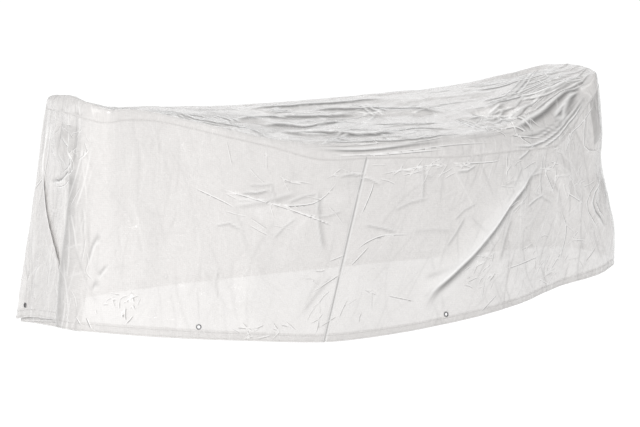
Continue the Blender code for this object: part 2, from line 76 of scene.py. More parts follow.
TOP_LIFT = 0.4  # how many layers out from the skirt the top's lap lies
HEM_TURN_DROP = 0.4  # layers by which the hem's folded edge hangs below, and lies inwards
HEM_TURN_INSET = 0.5
SEAM_CALM = 0.008  # distance from the seam in which the skirt's relief comes in
LAP_START = 0.002  # how far before the front seam the upper length begins to stand out
LAP_RISE = 0.004  # distance over which it comes out by a layer
LAP_EASE = 0.002  # distance over which the double cloth's tone comes in
LAP_FIRST_LINE = -0.001  # place of the first of its two edges with a painted highlight, from where it starts
LAP_LINE = 0.0016  # half width of the painted highlight on an edge
LAP_SHINE = 0.7  # and how bright it is
UPWARD = np.array([0.0, 0.0, 1.0])

# The ring of stations around the cover, from the front seam by the left end: the seam under
# the top's edge, the hem, and how high the edge rises above the seam before it turns inwards.
RING_COLUMNS = ("name", "seam_x", "seam_y", "seam_z", "hem_x", "hem_y", "hem_z", "rise")
RING = (
    ("front_join", -0.108, -0.362, 0.712, -0.318, -0.484, 0.178, 0.055),
    ("front_2", -0.270, -0.360, 0.720, -0.420, -0.461, 0.184, 0.052),
    ("front_3", -0.420, -0.335, 0.765, -0.515, -0.431, 0.191, 0.030),
    ("front_4", -0.550, -0.305, 0.800, -0.605, -0.400, 0.197, 0.028),
    ("front_5", -0.665, -0.262, 0.832, -0.695, -0.365, 0.203, 0.026),
    ("front_6", -0.755, -0.234, 0.853, -0.785, -0.315, 0.208, 0.030),
    ("front_7", -0.840, -0.222, 0.860, -0.865, -0.266, 0.213, 0.036),
    ("left_near", -0.903, -0.208, 0.854, -0.940, -0.213, 0.218, 0.044),
    ("left_2", -0.935, -0.150, 0.858, -0.985, -0.145, 0.217, 0.058),
    ("left_3", -0.948, -0.060, 0.862, -1.003, -0.060, 0.213, 0.062),
    ("left_pleat", -0.952, 0.030, 0.862, -1.008, 0.030, 0.203, 0.056),
    ("left_5", -0.945, 0.150, 0.856, -1.020, 0.160, 0.190, 0.050),
    ("left_far", -0.927, 0.236, 0.846, -1.034, 0.262, 0.180, 0.044),
    ("back_1", -0.865, 0.268, 0.834, -0.980, 0.335, 0.184, 0.040),
    ("back_2", -0.740, 0.302, 0.800, -0.840, 0.385, 0.190, 0.040),
    ("back_3", -0.500, 0.345, 0.775, -0.580, 0.430, 0.195, 0.045),
    ("back_4", -0.220, 0.362, 0.762, -0.250, 0.465, 0.195, 0.050),
    ("back_join", 0.100, 0.365, 0.764, 0.080, 0.475, 0.195, 0.050),
    ("back_6", 0.380, 0.352, 0.774, 0.380, 0.455, 0.200, 0.048),
    ("back_7", 0.620, 0.318, 0.795, 0.660, 0.405, 0.210, 0.045),
    ("back_8", 0.800, 0.278, 0.832, 0.860, 0.340, 0.225, 0.042),
    ("right_far", 0.892, 0.240, 0.850, 0.965, 0.265, 0.238, 0.046),
    ("right_2", 0.922, 0.160, 0.856, 1.005, 0.160, 0.243, 0.052),
    ("right_3", 0.928, 0.050, 0.860, 1.012, 0.050, 0.246, 0.052),
    ("right_4", 0.912, -0.060, 0.860, 0.992, -0.055, 0.248, 0.050),
    ("right_near", 0.866, -0.146, 0.850, 0.932, -0.155, 0.247, 0.048),
    ("front_8", 0.800, -0.178, 0.795, 0.845, -0.225, 0.241, 0.036),
    ("front_9", 0.735, -0.207, 0.742, 0.755, -0.260, 0.234, 0.044),
    ("front_10", 0.660, -0.242, 0.692, 0.655, -0.284, 0.227, 0.055),
    ("front_11", 0.570, -0.272, 0.684, 0.545, -0.336, 0.219, 0.058),
    ("front_12", 0.470, -0.303, 0.689, 0.410, -0.402, 0.208, 0.056),
    ("front_13", 0.360, -0.332, 0.691, 0.250, -0.446, 0.196, 0.054),
    ("front_14", 0.220, -0.352, 0.693, 0.070, -0.471, 0.185, 0.054),
    ("front_15", 0.050, -0.360, 0.703, -0.130, -0.487, 0.178, 0.054),
)

# The top between its rims: heights at the front edge, the middle and the back edge.
TOP_COLUMNS = ("x", "front", "middle", "back")
TOP_SECTIONS = (
    (-0.90, 0.872, 0.892, 0.872),
    (-0.86, 0.872, 0.880, 0.863),
    (-0.80, 0.866, 0.860, 0.846),
    (-0.70, 0.847, 0.841, 0.831),
    (-0.55, 0.811, 0.817, 0.819),
    (-0.40, 0.779, 0.796, 0.810),
    (-0.25, 0.757, 0.778, 0.801),
    (-0.05, 0.750, 0.769, 0.801),
    (0.15, 0.748, 0.770, 0.807),
    (0.30, 0.748, 0.778, 0.813),
    (0.45, 0.754, 0.794, 0.820),
    (0.60, 0.778, 0.816, 0.830),
    (0.72, 0.815, 0.844, 0.844),
    (0.82, 0.854, 0.874, 0.862),
    (0.88, 0.876, 0.892, 0.874),
)

# The box pleat in the left end, as a row for each bend of the cloth. The across columns give
# the distance from the pleat's middle towards the back, at five levels from the seam to the
# hem, the depth columns how far that bend stands out from the end, high up and low down, and
# drop how far it hangs down at the hem, or is drawn up where it is under zero.
PLEAT_LEVELS = (0.0, 0.25, 0.5, 0.72, 1.0)
PLEAT_COLUMNS = (
    "name", "seam", "upper", "middle", "lower", "hem", "depth_high", "depth_low", "drop",
)
PLEAT = (
    ("near_run", -0.240, -0.240, -0.240, -0.240, -0.240, 0.000, 0.000, 0.000),
    ("near_out", -0.180, -0.190, -0.180, -0.180, -0.170, 0.006, 0.008, 0.000),
    ("near_shoulder", -0.085, -0.114, -0.114, -0.094, -0.094, 0.013, 0.015, 0.000),
    ("near_tip", -0.055, -0.100, -0.100, -0.080, -0.080, 0.009, 0.011, 0.000),
    ("near_under", -0.030, -0.114, -0.114, -0.094, -0.094, 0.005, 0.007, 0.000),
    ("near_inner", -0.010, -0.150, -0.175, -0.175, -0.155, -0.001, 0.001, 0.002),
    ("near_turn", 0.005, -0.162, -0.190, -0.190, -0.169, -0.005, -0.006, 0.004),
    ("bed_near", 0.020, -0.150, -0.175, -0.175, -0.155, -0.009, -0.009, 0.006),
    ("bed_far", 0.055, 0.118, 0.140, 0.160, 0.180, -0.004, -0.008, 0.008),
    ("far_turn", 0.075, 0.131, 0.154, 0.174, 0.194, -0.003, -0.0065, 0.007),
    ("far_inner", 0.095, 0.142, 0.140, 0.160, 0.180, -0.002, -0.005, 0.006),
    ("far_under", 0.115, 0.151, 0.091, -0.022, -0.047, -0.001, -0.004, -0.012),
    ("far_tip", 0.135, 0.160, 0.077, -0.036, -0.061, 0.000, -0.001, -0.016),
    ("far_shoulder", 0.157, 0.170, 0.091, -0.022, -0.047, 0.000, 0.002, -0.018),
    ("far_out", 0.185, 0.194, 0.180, 0.150, 0.130, 0.000, 0.004, -0.013),
    ("far_run", 0.225, 0.225, 0.225, 0.225, 0.225, 0.000, 0.000, 0.000),
)
PLEAT_OPEN = (0.0, 0.24)  # levels between which the near fold opens out
PLEAT_SHUT = 0.08  # share of its depth that the pleat keeps at the seam
PLEAT_DEEP = (0.30, 0.60)  # levels between which the far fold takes its depth
PLEAT_EDGES = ("near_tip", "near_turn", "far_turn", "far_tip")  # the bends with a painted highlight on their folded edge
EDGE_BENDS = 0.60  # how many bends wide the painted highlight on a folded edge is
EDGE_SHINE = 0.85  # and how bright
EDGE_FROM = 0.05  # level from which it shows
STRIP_BESIDE = "near_shoulder"  # the bend on which the painted shadow strip beside the near fold lies
STRIP_BENDS = 0.55  # and its width, darkness and first level
STRIP_SHADE = 0.60
STRIP_FROM = 0.22
LEVEL_EASE = 0.1  # the change of level over which both come in

# Cloth that lies double: the station that each patch sits at or after and how far along from it,
# half its width, the levels it spans, and how dark it is.
PATCHES = (
    ("corner_flap", "right_near", 0.035, 0.050, 0.00, 0.270, 0.90),
    ("corner_fold", "right_near", 0.000, 0.030, 0.25, 0.620, 0.45),
    ("ear", "left_3", 0.020, 0.075, 0.05, 0.330, 0.40),
)
PATCH_EASE = (0.12, 0.10)  # shares of a patch's half width and half height in which it fades in

# Eyelets: the station that each one sits at or after, and how far along from it.
EYELETS = (
    ("eyelet_1", "front_5", -0.015),
    ("eyelet_2", "left_5", 0.035),
    ("eyelet_3", "back_4", -0.200),
    ("eyelet_4", "back_7", 0.000),
    ("eyelet_5", "right_3", 0.000),
    ("eyelet_6", "front_14", -0.038),
)
EYELET_NODES = tuple(name for name, _, _ in EYELETS)

# Swellings and hollows of the skirt: the station that each one sits at or after and how far
# along from it, half its width, the levels it spans, the share of them at which it is highest,
# and its height outwards.
SWELLS = (
    ("end_pouch", "left_pleat", 0.000, 0.105, 0.05, 0.255, 0.72, 0.018),
    ("corner_pouch", "right_near", 0.040, 0.055, 0.00, 0.270, 0.80, 0.009),
    ("right_waist", "right_near", -0.020, 0.150, 0.25, 0.640, 0.50, -0.015),
    ("right_swell", "right_near", -0.020, 0.170, 0.58, 1.020, 0.50, 0.014),
)

# Soft folds: from one end to the other, then half width and height. The points are (x, y) on
# the top, and (x, z above the ground) in front.
TOP_FOLDS = (
    ("fan_1", 0.880, -0.085, 0.420, -0.070, 0.030, 0.012),
    ("fan_2", 0.840, -0.125, 0.400, -0.290, 0.030, 0.012),
    ("fan_3", 0.800, -0.165, 0.520, -0.285, 0.028, 0.009),
    ("fan_far", 0.860, 0.230, 0.560, -0.040, 0.030, 0.009),
    ("fan_hollow", 0.410, -0.080, 0.640, -0.200, 0.030, -0.007),
    ("streak_1", -0.020, 0.200, 0.370, -0.010, 0.030, 0.008),
    ("streak_2", -0.420, 0.010, -0.070, 0.120, 0.030, 0.008),
    ("streak_3", -0.360, -0.030, -0.070, -0.015, 0.030, -0.007),
    ("streak_4", -0.370, -0.180, 0.080, -0.185, 0.030, 0.008),
    ("left_band", -0.600, 0.120, -0.390, -0.310, 0.030, 0.008),
)
FRONT_FOLDS = (
    ("long_fold", 0.560, 0.660, 0.000, 0.250, 0.040, 0.012),
    ("drag_1", -0.600, 0.655, -0.250, 0.525, 0.036, 0.008),
    ("drag_2", -0.420, 0.580, -0.120, 0.655, 0.036, 0.007),
    ("left_hang", -0.800, 0.600, -0.870, 0.260, 0.045, 0.010),
    ("middle_hang", -0.480, 0.470, -0.560, 0.210, 0.045, 0.008),
    ("right_tuck", 0.650, 0.650, 0.730, 0.440, 0.036, 0.009),
)
FRONT_FACING = -0.3  # the front is where the outward direction's Y is under this
FOLD_FADE = 0.3  # share of a fold's length over which it fades at each end

# Crisp creases, each a bent line with its width and height. On the top the points are (x, y).
TOP_LINES = (
    ("fan_crest_1",
     ((0.87, -0.06), (0.76, -0.087), (0.66, -0.093), (0.59, -0.053), (0.46, -0.07)), 0.018, 0.008),
    ("fan_crest_2",
     ((0.85, -0.115), (0.76, -0.142), (0.67, -0.187), (0.53, -0.25), (0.43, -0.29)), 0.018, 0.008),
    ("fan_side_1", ((0.86, -0.02), (0.75, 0.02), (0.62, 0.01), (0.50, 0.04)), 0.014, 0.0044),
    ("fan_side_2", ((0.87, 0.05), (0.79, 0.10), (0.69, 0.12), (0.55, 0.17)), 0.014, 0.004),
    ("fan_side_3", ((0.84, 0.15), (0.80, 0.06), (0.81, -0.04), (0.86, -0.09)), 0.009, 0.0026),
    ("fan_side_4", ((0.79, 0.13), (0.755, 0.03), (0.76, -0.07), (0.84, -0.12)), 0.009, 0.0024),
    ("far_trough", ((0.86, 0.23), (0.726, 0.085), (0.616, -0.007), (0.577, -0.04)), 0.018, -0.0055),
    ("cross_trough", ((0.412, -0.079), (0.496, -0.138), (0.619, -0.191)), 0.020, -0.0065),
    ("short_trough", ((0.354, -0.098), (0.381, -0.232)), 0.014, -0.0045),
    ("net_1", ((0.381, -0.232), (0.429, -0.314)), 0.009, 0.0035),
    ("net_2", ((0.384, -0.264), (0.547, -0.281)), 0.009, 0.0035),
    ("net_3", ((0.47, -0.13), (0.50, -0.24), (0.56, -0.27)), 0.010, 0.0035),
    ("net_4", ((0.347, -0.138), (0.351, -0.258)), 0.009, 0.0035),
    ("streak_1", ((-0.18, 0.20), (-0.09, 0.23)), 0.024, 0.007),
    ("streak_2",
     ((-0.05, 0.22), (0.03, 0.18), (0.11, 0.14), (0.25, 0.095), (0.38, -0.015)), 0.034, 0.01),
    ("streak_3",
     ((-0.41, 0.017), (-0.28, 0.075), (-0.18, 0.085), (-0.08, 0.11), (0.13, 0.10)), 0.032, 0.01),
    ("streak_4", ((-0.42, 0.095), (-0.39, -0.015)), 0.018, 0.006),
    ("streak_5", ((-0.32, 0.0), (-0.21, 0.01), (-0.11, -0.014), (0.03, 0.02)), 0.030, 0.009),
    ("streak_6",
     ((-0.36, -0.186), (-0.26, -0.19), (-0.15, -0.20), (0.0, -0.215), (0.11, -0.165)), 0.034, 0.011),
    ("streak_7", ((0.169, 0.227), (0.157, 0.113), (0.174, 0.038)), 0.018, 0.005),
    ("streak_8", ((-0.25, -0.33), (-0.16, -0.265), (-0.085, -0.202)), 0.018, 0.005),
    ("far_edge", ((-0.24, 0.27), (-0.08, 0.28), (0.09, 0.27), (0.30, 0.26)), 0.026, 0.006),
    ("edge_line",
     ((-0.29, -0.271), (-0.17, -0.325), (0.01, -0.33), (0.18, -0.30), (0.29, -0.285)), 0.012, 0.0045),
    ("sag_line_1",
     ((-0.163, -0.147), (-0.138, -0.202), (-0.041, -0.116), (0.028, -0.188)), 0.010, 0.0035),
    ("sag_line_2", ((0.03, -0.19), (0.112, -0.165), (0.186, -0.163), (0.28, -0.21)), 0.012, 0.004),
    ("sag_line_3", ((0.05, -0.05), (0.17, -0.10), (0.30, -0.12)), 0.012, 0.004),
    ("arc", ((-0.046, -0.274), (-0.071, -0.335), (-0.039, -0.35), (0.008, -0.345)), 0.008, 0.003),
    ("band_edge_1",
     ((-0.60, 0.10), (-0.56, 0.0), (-0.535, -0.094), (-0.43, -0.19), (-0.406, -0.31)), 0.016, 0.0065),
    ("band_edge_2",
     ((-0.70, 0.06), (-0.65, -0.05), (-0.62, -0.16), (-0.56, -0.22), (-0.52, -0.29)), 0.016, -0.0055),
    ("left_line_1", ((-0.862, -0.14), (-0.81, -0.20), (-0.766, -0.234)), 0.009, 0.0018),
    ("left_line_2", ((-0.602, 0.20), (-0.59, 0.0), (-0.63, -0.27)), 0.010, 0.0022),
    ("left_line_3", ((-0.60, 0.28), (-0.50, 0.12), (-0.437, 0.005)), 0.010, 0.0024),
    ("left_line_4", ((-0.88, 0.05), (-0.78, -0.02), (-0.66, -0.17)), 0.010, 0.002),
    ("left_line_5", ((-0.90, 0.10), (-0.80, 0.12), (-0.70, 0.17), (-0.52, 0.21)), 0.010, 0.0022),
)

# Painted shade on the top, over its sag, its knot and the fan: middle and half sizes in plan, and
# how dark it is.
TOP_PAINTED_SHADE = (
    ("fan", 0.66, -0.15, 0.20, 0.11, 0.34),
    ("knot", 0.80, 0.05, 0.09, 0.13, 0.42),
    ("sag", -0.04, -0.08, 0.34, 0.17, 0.26),
)

# In front the points are (x, z above the ground).
FRONT_LINES = (
    ("shoulder_1", ((-0.66, 0.651), (-0.575, 0.605), (-0.547, 0.586)), 0.006, 0.0018),
    ("shoulder_2",
     ((-0.600, 0.646), (-0.503, 0.618), (-0.429, 0.593), (-0.353, 0.587), (-0.286, 0.597),
      (-0.215, 0.654)), 0.007, 0.0023),
    ("shoulder_3", ((-0.414, 0.587), (-0.370, 0.570), (-0.245, 0.516)), 0.006, 0.0019),
    ("shoulder_4", ((-0.586, 0.647), (-0.485, 0.610), (-0.414, 0.587), (-0.257, 0.527)), 0.006, 0.0018),
    ("rim_drop_1", ((-0.557, 0.788), (-0.546, 0.707)), 0.006, 0.0009),
    ("rim_drop_2", ((-0.438, 0.756), (-0.443, 0.690)), 0.006, 0.0009),
    ("seam_fan_1", ((-0.181, 0.439), (-0.144, 0.460), (-0.080, 0.476), (0.012, 0.471)), 0.006, 0.0021),
    ("seam_fan_2", ((-0.207, 0.394), (-0.136, 0.448)), 0.006, 0.0018),
    ("seam_fan_3", ((-0.338, 0.327), (-0.239, 0.376)), 0.006, 0.0018),
    ("seam_fan_4", ((-0.274, 0.414), (-0.216, 0.430)), 0.005, 0.0015),
    ("seam_fan_5", ((-0.094, 0.642), (-0.108, 0.610), (-0.151, 0.542)), 0.006, 0.0021),
    ("seam_fan_6", ((-0.091, 0.297), (0.009, 0.269)), 0.006, 0.0017),
    ("under_seam", ((-0.071, 0.659), (0.088, 0.671), (0.184, 0.670)), 0.006, 0.0021),
    ("under_strip", ((0.189, 0.685), (0.210, 0.671), (0.365, 0.664), (0.387, 0.677)), 0.005, 0.0027),
    ("long_crest",
     ((0.585, 0.655), (0.500, 0.605), (0.408, 0.538), (0.258, 0.416), (0.122, 0.331),
      (0.069, 0.294), (0.019, 0.228)), 0.036, 0.011),
    ("patch_side", ((0.581, 0.647), (0.587, 0.598), (0.627, 0.525)), 0.007, 0.0027),
    ("low_right_1", ((0.366, 0.326), (0.455, 0.335), (0.539, 0.344)), 0.006, 0.0021),
    ("low_right_2", ((0.570, 0.274), (0.653, 0.342)), 0.006, 0.0021),
    ("low_right_3", ((0.247, 0.208), (0.323, 0.254)), 0.006, 0.0018),
    ("right_hang_1", ((0.653, 0.476), (0.675, 0.401), (0.637, 0.305)), 0.007, 0.0027),
    ("right_hang_2", ((0.681, 0.529), (0.766, 0.478)), 0.006, 0.0021),
    ("right_hang_3", ((0.823, 0.471), (0.855, 0.413)), 0.006, 0.0018),
    ("corner_fold", ((0.888, 0.577), (0.802, 0.480), (0.873, 0.378)), 0.012, 0.006),
    ("fan_rim_1",
     ((0.814, 0.843), (0.743, 0.790), (0.652, 0.734), (0.544, 0.700), (0.430, 0.706)), 0.014, 0.0052),
    ("fan_rim_2",
     ((0.850, 0.872), (0.761, 0.830), (0.664, 0.770), (0.560, 0.735), (0.430, 0.735)), 0.014, 0.0052),
    ("fan_rim_3", ((0.846, 0.800), (0.770, 0.740), (0.690, 0.700)), 0.007, 0.0024),
    ("rim_net_1", ((0.440, 0.760), (0.480, 0.725), (0.530, 0.690)), 0.006, 0.0021),
    ("rim_net_2", ((0.380, 0.757), (0.450, 0.735), (0.590, 0.712)), 0.006, 0.0021),
    ("rim_crest",
     ((-0.300, 0.752), (-0.120, 0.738), (0.060, 0.742), (0.240, 0.748), (0.400, 0.752)), 0.012, 0.0034),
    ("rim_long", ((-0.250, 0.722), (0.000, 0.722), (0.200, 0.728), (0.380, 0.722)), 0.008, 0.0016),
    ("flap_edge", ((0.794, 0.783), (0.785, 0.663), (0.860, 0.640)), 0.006, 0.0027),
)

# On the ends the points are (y, z above the ground).
LEFT_LINES = (
    ("flame_1", ((-0.108, 0.267), (-0.129, 0.234)), 0.006, 0.004),
    ("flame_2", ((-0.150, 0.261), (-0.167, 0.236)), 0.006, 0.0035),
    ("flame_3", ((-0.182, 0.262), (-0.196, 0.227)), 0.006, 0.0035),
    ("lit_line", ((-0.145, 0.652), (-0.099, 0.586)), 0.007, 0.0014),
    ("squiggle", ((-0.172, 0.465), (-0.181, 0.430), (-0.176, 0.400), (-0.197, 0.373)), 0.006, 0.0009),
    ("ear_edge",
     ((0.030, 0.803), (-0.014, 0.778), (-0.065, 0.748), (-0.086, 0.712), (-0.027, 0.672),
      (0.008, 0.649), (0.067, 0.637), (0.118, 0.634)), 0.010, 0.0055),
    ("far_cross", ((0.230, 0.590), (0.163, 0.640)), 0.007, 0.003),
)
RIGHT_LINES = (
    ("corner_drag", ((-0.10, 0.80), (-0.03, 0.66), (0.02, 0.50), (0.04, 0.34)), 0.012, 0.006),
    ("far_drag", ((0.20, 0.80), (0.16, 0.66), (0.17, 0.48), (0.13, 0.33)), 0.012, 0.005),
    ("top_dip", ((-0.08, 0.84), (0.03, 0.78), (0.16, 0.83)), 0.012, -0.005),
    ("low_line", ((-0.02, 0.40), (0.05, 0.33), (0.15, 0.30)), 0.009, 0.0035),
)
# On the back they are (x, z above the ground) again.
BACK_LINES = (
    ("back_drag_1", ((-0.82, 0.78), (-0.74, 0.62), (-0.60, 0.45), (-0.52, 0.26)), 0.012, 0.007),
    ("back_drag_2", ((-0.86, 0.72), (-0.88, 0.50), (-0.93, 0.30)), 0.012, 0.006),
    ("back_drag_3", ((-0.48, 0.70), (-0.38, 0.52), (-0.34, 0.30)), 0.011, 0.005),
    ("back_drag_4", ((0.78, 0.78), (0.66, 0.60), (0.44, 0.44), (0.30, 0.26)), 0.012, 0.007),
    ("back_drag_5", ((0.84, 0.70), (0.86, 0.48), (0.90, 0.30)), 0.012, 0.006),
    ("back_drag_6", ((0.30, 0.70), (0.22, 0.56), (0.24, 0.36)), 0.010, 0.0045),
    ("back_seam_1", ((0.10, 0.60), (-0.02, 0.52), (-0.14, 0.50)), 0.009, 0.0035),
    ("back_seam_2", ((0.09, 0.42), (0.20, 0.36), (0.30, 0.38)), 0.009, 0.0035),
)
LINE_FADE = 0.22  # share of a crease's length over which it fades at each end

# How creases stand up and show: a bright crest, which is stress whitening and a painted highlight, and a
# painted dark shade close beside it to lee.
TOP_LEE = (-0.5, -0.85)  # the lee side on the top, where the steep sides face the front and take the painted shade
SIDE_LEE = (0.8, -0.6)  # and on a side of the skirt, away from the light
LEE_SHARE = 0.45  # width of a crease's steep side against its slow one
CREASE_REACH = 6.0  # how many widths from its line a crease is worked out
TENT_ROUNDING = 0.25  # how far a crest is rounded, against the crease's width
CREST_HEIGHT = 0.0022  # height from which a crease shows its full tones
CREST_WIDTH = 0.0030  # least half width of the crest
SHADE_WIDTH = 0.0038  # least half width of the shade
SHADE_OFFSET = 0.0046  # least distance between the two
CREST_SHARE = 0.22  # the same three as shares of a crease's own width, which count where larger
SHADE_SHARE = 0.42
OFFSET_SHARE = 0.36
BAND_WIDTH = 0.035  # width past which a crease also gets a painted sheen on its slow side
BAND_SHINE = 0.85  # and how much, close to its crest

# A thin crease is drawn by the film's material, from the distance to its line: a bright line of stress
# whitening and painted highlight, and a painted shade beside it.
THIN_WIDTH = 0.0095  # width under which a crease is a thin one
THIN_RELIEF = 0.6  # share of its height that it keeps, because it shows more by its tones
HAIR_REACH = 0.0042  # distance from it within which its line is drawn
HAIR_FADE = 0.0020  # and over which the line then fades
HAIR_CREST = 0.0012  # half width of its bright line
HAIR_SHADE = 0.0014  # half width of the dark line beside it
HAIR_OFFSET = 0.0026  # distance between the two
FAR = 0.05  # the distance that is given where no thin crease is near
FAR_WEIGHT = 50.0  # how many times further off a crease counts where it has no strength

# A crease that is neither thin nor broad has a fainter one on each side.
ECHO_WIDEST = 0.026  # width from which a crease is broad
ECHO_GAP = 0.011  # usual distance from the crease
ECHO_GAPS = (1.0, 2.4)  # range of that distance, in gaps
ECHO_FAN = (0.5, 1.5)  # share of the distance at the start and at the end
ECHO_CUTS = (0.3, 0.4)  # the most that is left off at the start and at the end
ECHO_WIDTH = 0.7  # width against the crease's own
ECHO_HEIGHTS = (0.35, 0.6)  # and range of height

# Crinkles: clusters of short seeded creases. Centre and half sizes in the sheet's chart, mean
# angle and scatter in degrees, how many, their mean length and their height.
TOP_CRINKLES = (
    ("right_knot", 0.80, 0.03, 0.10, 0.12, 172, 16, 24, 0.085, 0.0022),
    ("right_fan", 0.62, -0.12, 0.18, 0.12, 200, 12, 24, 0.140, 0.0026),
    ("right_net", 0.46, -0.22, 0.10, 0.08, 215, 34, 16, 0.080, 0.0024),
    ("far_fan", 0.55, 0.16, 0.26, 0.10, 165, 14, 14, 0.120, 0.0020),
    ("sag_near", 0.04, -0.20, 0.28, 0.12, 5, 26, 24, 0.090, 0.0026),
    ("sag_far", 0.05, 0.10, 0.34, 0.14, 172, 18, 20, 0.120, 0.0024),
    ("band", -0.50, -0.08, 0.12, 0.24, 112, 20, 16, 0.100, 0.0022),
    ("left_slope", -0.74, 0.00, 0.13, 0.19, 150, 30, 16, 0.090, 0.0020),
    ("left_knot", -0.87, -0.02, 0.05, 0.17, 95, 30, 16, 0.060, 0.0020),
)
FRONT_CRINKLES = (
    ("left_hem", -0.89, 0.295, 0.06, 0.05, 70, 40, 22, 0.028, 0.0020),
    ("hem_left", -0.48, 0.225, 0.10, 0.03, 15, 40, 14, 0.030, 0.0018),
    ("under_shoulder", -0.42, 0.600, 0.24, 0.09, -22, 24, 22, 0.080, 0.0014),
    ("seam_foot", -0.26, 0.300, 0.12, 0.10, 40, 34, 16, 0.050, 0.0014),
    ("fold_crumple", 0.27, 0.335, 0.08, 0.06, 40, 30, 26, 0.040, 0.0020),
    ("fold_upper", 0.50, 0.590, 0.12, 0.09, 38, 22, 26, 0.080, 0.0020),
    ("right_upper", 0.70, 0.600, 0.12, 0.12, 60, 40, 30, 0.060, 0.0018),
    ("right_lower", 0.62, 0.330, 0.20, 0.09, 20, 40, 30, 0.055, 0.0016),
    ("seam_line", 0.05, 0.660, 0.36, 0.03, 8, 24, 30, 0.060, 0.0016),
    ("open_front", -0.10, 0.450, 0.60, 0.20, 60, 40, 16, 0.150, 0.0009),
)
END_CRINKLES = (
    ("near_corner", -0.16, 0.420, 0.06, 0.18, 85, 16, 9, 0.090, 0.0010),
    ("upper", 0.02, 0.760, 0.20, 0.08, 60, 50, 34, 0.045, 0.0018),
    ("lower", 0.05, 0.330, 0.18, 0.12, 80, 24, 24, 0.060, 0.0014),
)
BACK_CRINKLES = (
    ("left_part", -0.62, 0.500, 0.30, 0.24, 120, 40, 60, 0.070, 0.0018),
    ("middle_part", 0.00, 0.470, 0.40, 0.24, 80, 50, 50, 0.060, 0.0014),
    ("right_part", 0.60, 0.500, 0.30, 0.24, 55, 40, 60, 0.070, 0.0018),
    ("seam_line", 0.00, 0.740, 0.70, 0.03, 5, 24, 40, 0.060, 0.0016),
)
CRINKLE_WIDTH = 0.11  # width of a crinkle against its length
CRINKLE_NARROWEST = 0.0045  # least width of a crinkle
CRINKLE_LENGTHS = (0.5, 1.5)  # ranges of length and height, against the cluster's
CRINKLE_HEIGHTS = (0.5, 1.3)
CRINKLE_BEND = 0.25  # usual turn between a crinkle's two halves, in radians
CRINKLE_RAISED = 0.7  # share of the crinkles that stand out, where the others are grooves
CRINKLE_SHINE = 0.75  # how strongly they show, against a crease

# Facets: waves with a sharp fold, fading in and out. Mean angle and scatter in degrees of the
# direction in which a wave's folds run, its mean length, its height, and how many there are.
TOP_FACETS = (
    ("long", 4, 16, 0.240, 0.0034, 5),
    ("cross", 30, 40, 0.120, 0.0018, 5),
    ("small", 0, 90, 0.060, 0.0006, 6),
)
SKIRT_FACETS = (
    ("hang", 88, 20, 0.170, 0.0026, 7),
    ("lean", 60, 40, 0.090, 0.0011, 7),
    ("small", 90, 90, 0.042, 0.0004, 8),
)
FACET_PERIODS = (0.7, 1.5)  # range of a wave's length, against its row's
FACET_BOW = 0.12  # how far its folds bend, against the wave's length
FACET_BENDS = (2.0, 2.3)  # how often they bend, both ways, in radians to the row's length
FACET_SHIFT = 6.0  # range of the bends' starts, in radians
MASK_LENGTHS = (2.0, 3.5)  # range of its mask's length, against the row's
MASK_WAVES = (2.0, 1.7)  # half waves of the mask in that length, both ways
MASK_SHIFT = 5.0  # how the start of the mask's second wave follows from its turn
MASK_EDGE = 1.6  # how fast the mask rises
FACET_SHINE = 0.35  # how strongly the facets show, against a crease

# Where each run of random draws starts
ECHO_SEEDS = {"front": 41, "back": 42, "left": 43, "right": 44, "top": 45}
CRINKLE_SEEDS = {"front": 11, "back": 12, "left": 13, "right": 14, "top": 21}
FACET_SEEDS = {"left": 31, "right": 32, "rim": 31, "top": 22}

# Where each kind of relief lies on the skirt
SIDE_FACING = 0.25  # how far the cloth must face a side to take that side's creases
SIDE_EASE = 0.2  # and the change over which they come in
CALM_FRONT = 0.35  # share of the facets' height that the smooth left of the front keeps
CALM_UNTIL = -0.05  # length x up to which the front is smooth
CALM_TURNED = -0.75  # outward direction's Y up to which the cloth counts as front
CALM_EASE = 0.5  # change of either over which the full facets come in

# Stitching and eyelets
STITCH_ROWS = (0.004, 0.020)  # heights of the hem's two rows of stitches above its edge
THREAD = 0.00045  # half the thread's width
STITCH_SHARE = 0.62  # share of the pitch that shows as thread
EYELET_HOLE = 0.0048  # radius of the hole
EYELET_FLANGE = 0.0082  # and of the flange
EYELET_REACH = 0.0013  # from the eyelet's middle to the inside of its flange
EYELET_PLATE = 0.0006  # height of the flange's round
EYELET_LIP = ((-0.0003, 0.0001), (0.0005, 0.0002))  # offsets of its inner face's two corners
EYELET_ARC = 9  # points over the flange's round
EYELET_BARREL = 5  # and down its barrel
EYELET_TURNS = 48  # steps around it
CUT_RADIUS = 0.0056  # radius of the hole that is cut in the film for it
CUT_DEPTH = 0.01  # and how far that cut reaches in and out
CALM = 0.022  # distance over which the relief comes back beside an eyelet
CALM_START = 0.4  # share of that distance that stays flat first
SEAM_STITCH = 0.6  # share of the seam's lap at which its stitches lie
SEAM_THREAD = 0.6  # how many layers out they lie
THREAD_SHAPE = ((0.0, 0.4), (0.25, 1.0), (0.75, 1.0), (1.0, 0.4))  # share of a stitch, thickness
THREAD_RISE = 0.4  # how many half threads its underside lies above the film

# How closely the mesh's rows and columns lie
FINE_STEP = 0.0018  # step beside an eyelet
FINE_HALF = 0.011  # how far that step reaches along the hem
FINE_LEVELS = 0.018  # and up and down, as a share of the skirt's height
FOLD_STEP = 0.003  # step of the rows in the folded hem
DEPTH_STEP = 0.0015  # the most that the pleat's depth changes in a column
LAST_BENDS = 3.0  # the pleat's far run starts this many bends before their count
# How many samples each run is measured at before its points are spaced out
SAMPLES = {"near": 4000, "pleat": 6001, "far": 6000, "right": 12000, "levels": 4000}
RIM_SAMPLES = 201

# The camera, in the model's frame: degrees, and millimetres for its lens and sensor
CAMERA_AT = (-3.4874, -6.8203, 1.0215)
CAMERA_YAW = 26.475
CAMERA_PITCH = 9.7497
CAMERA_ROLL = -0.2069
CAMERA_LENS = 135.14
CAMERA_SENSOR = 36.0

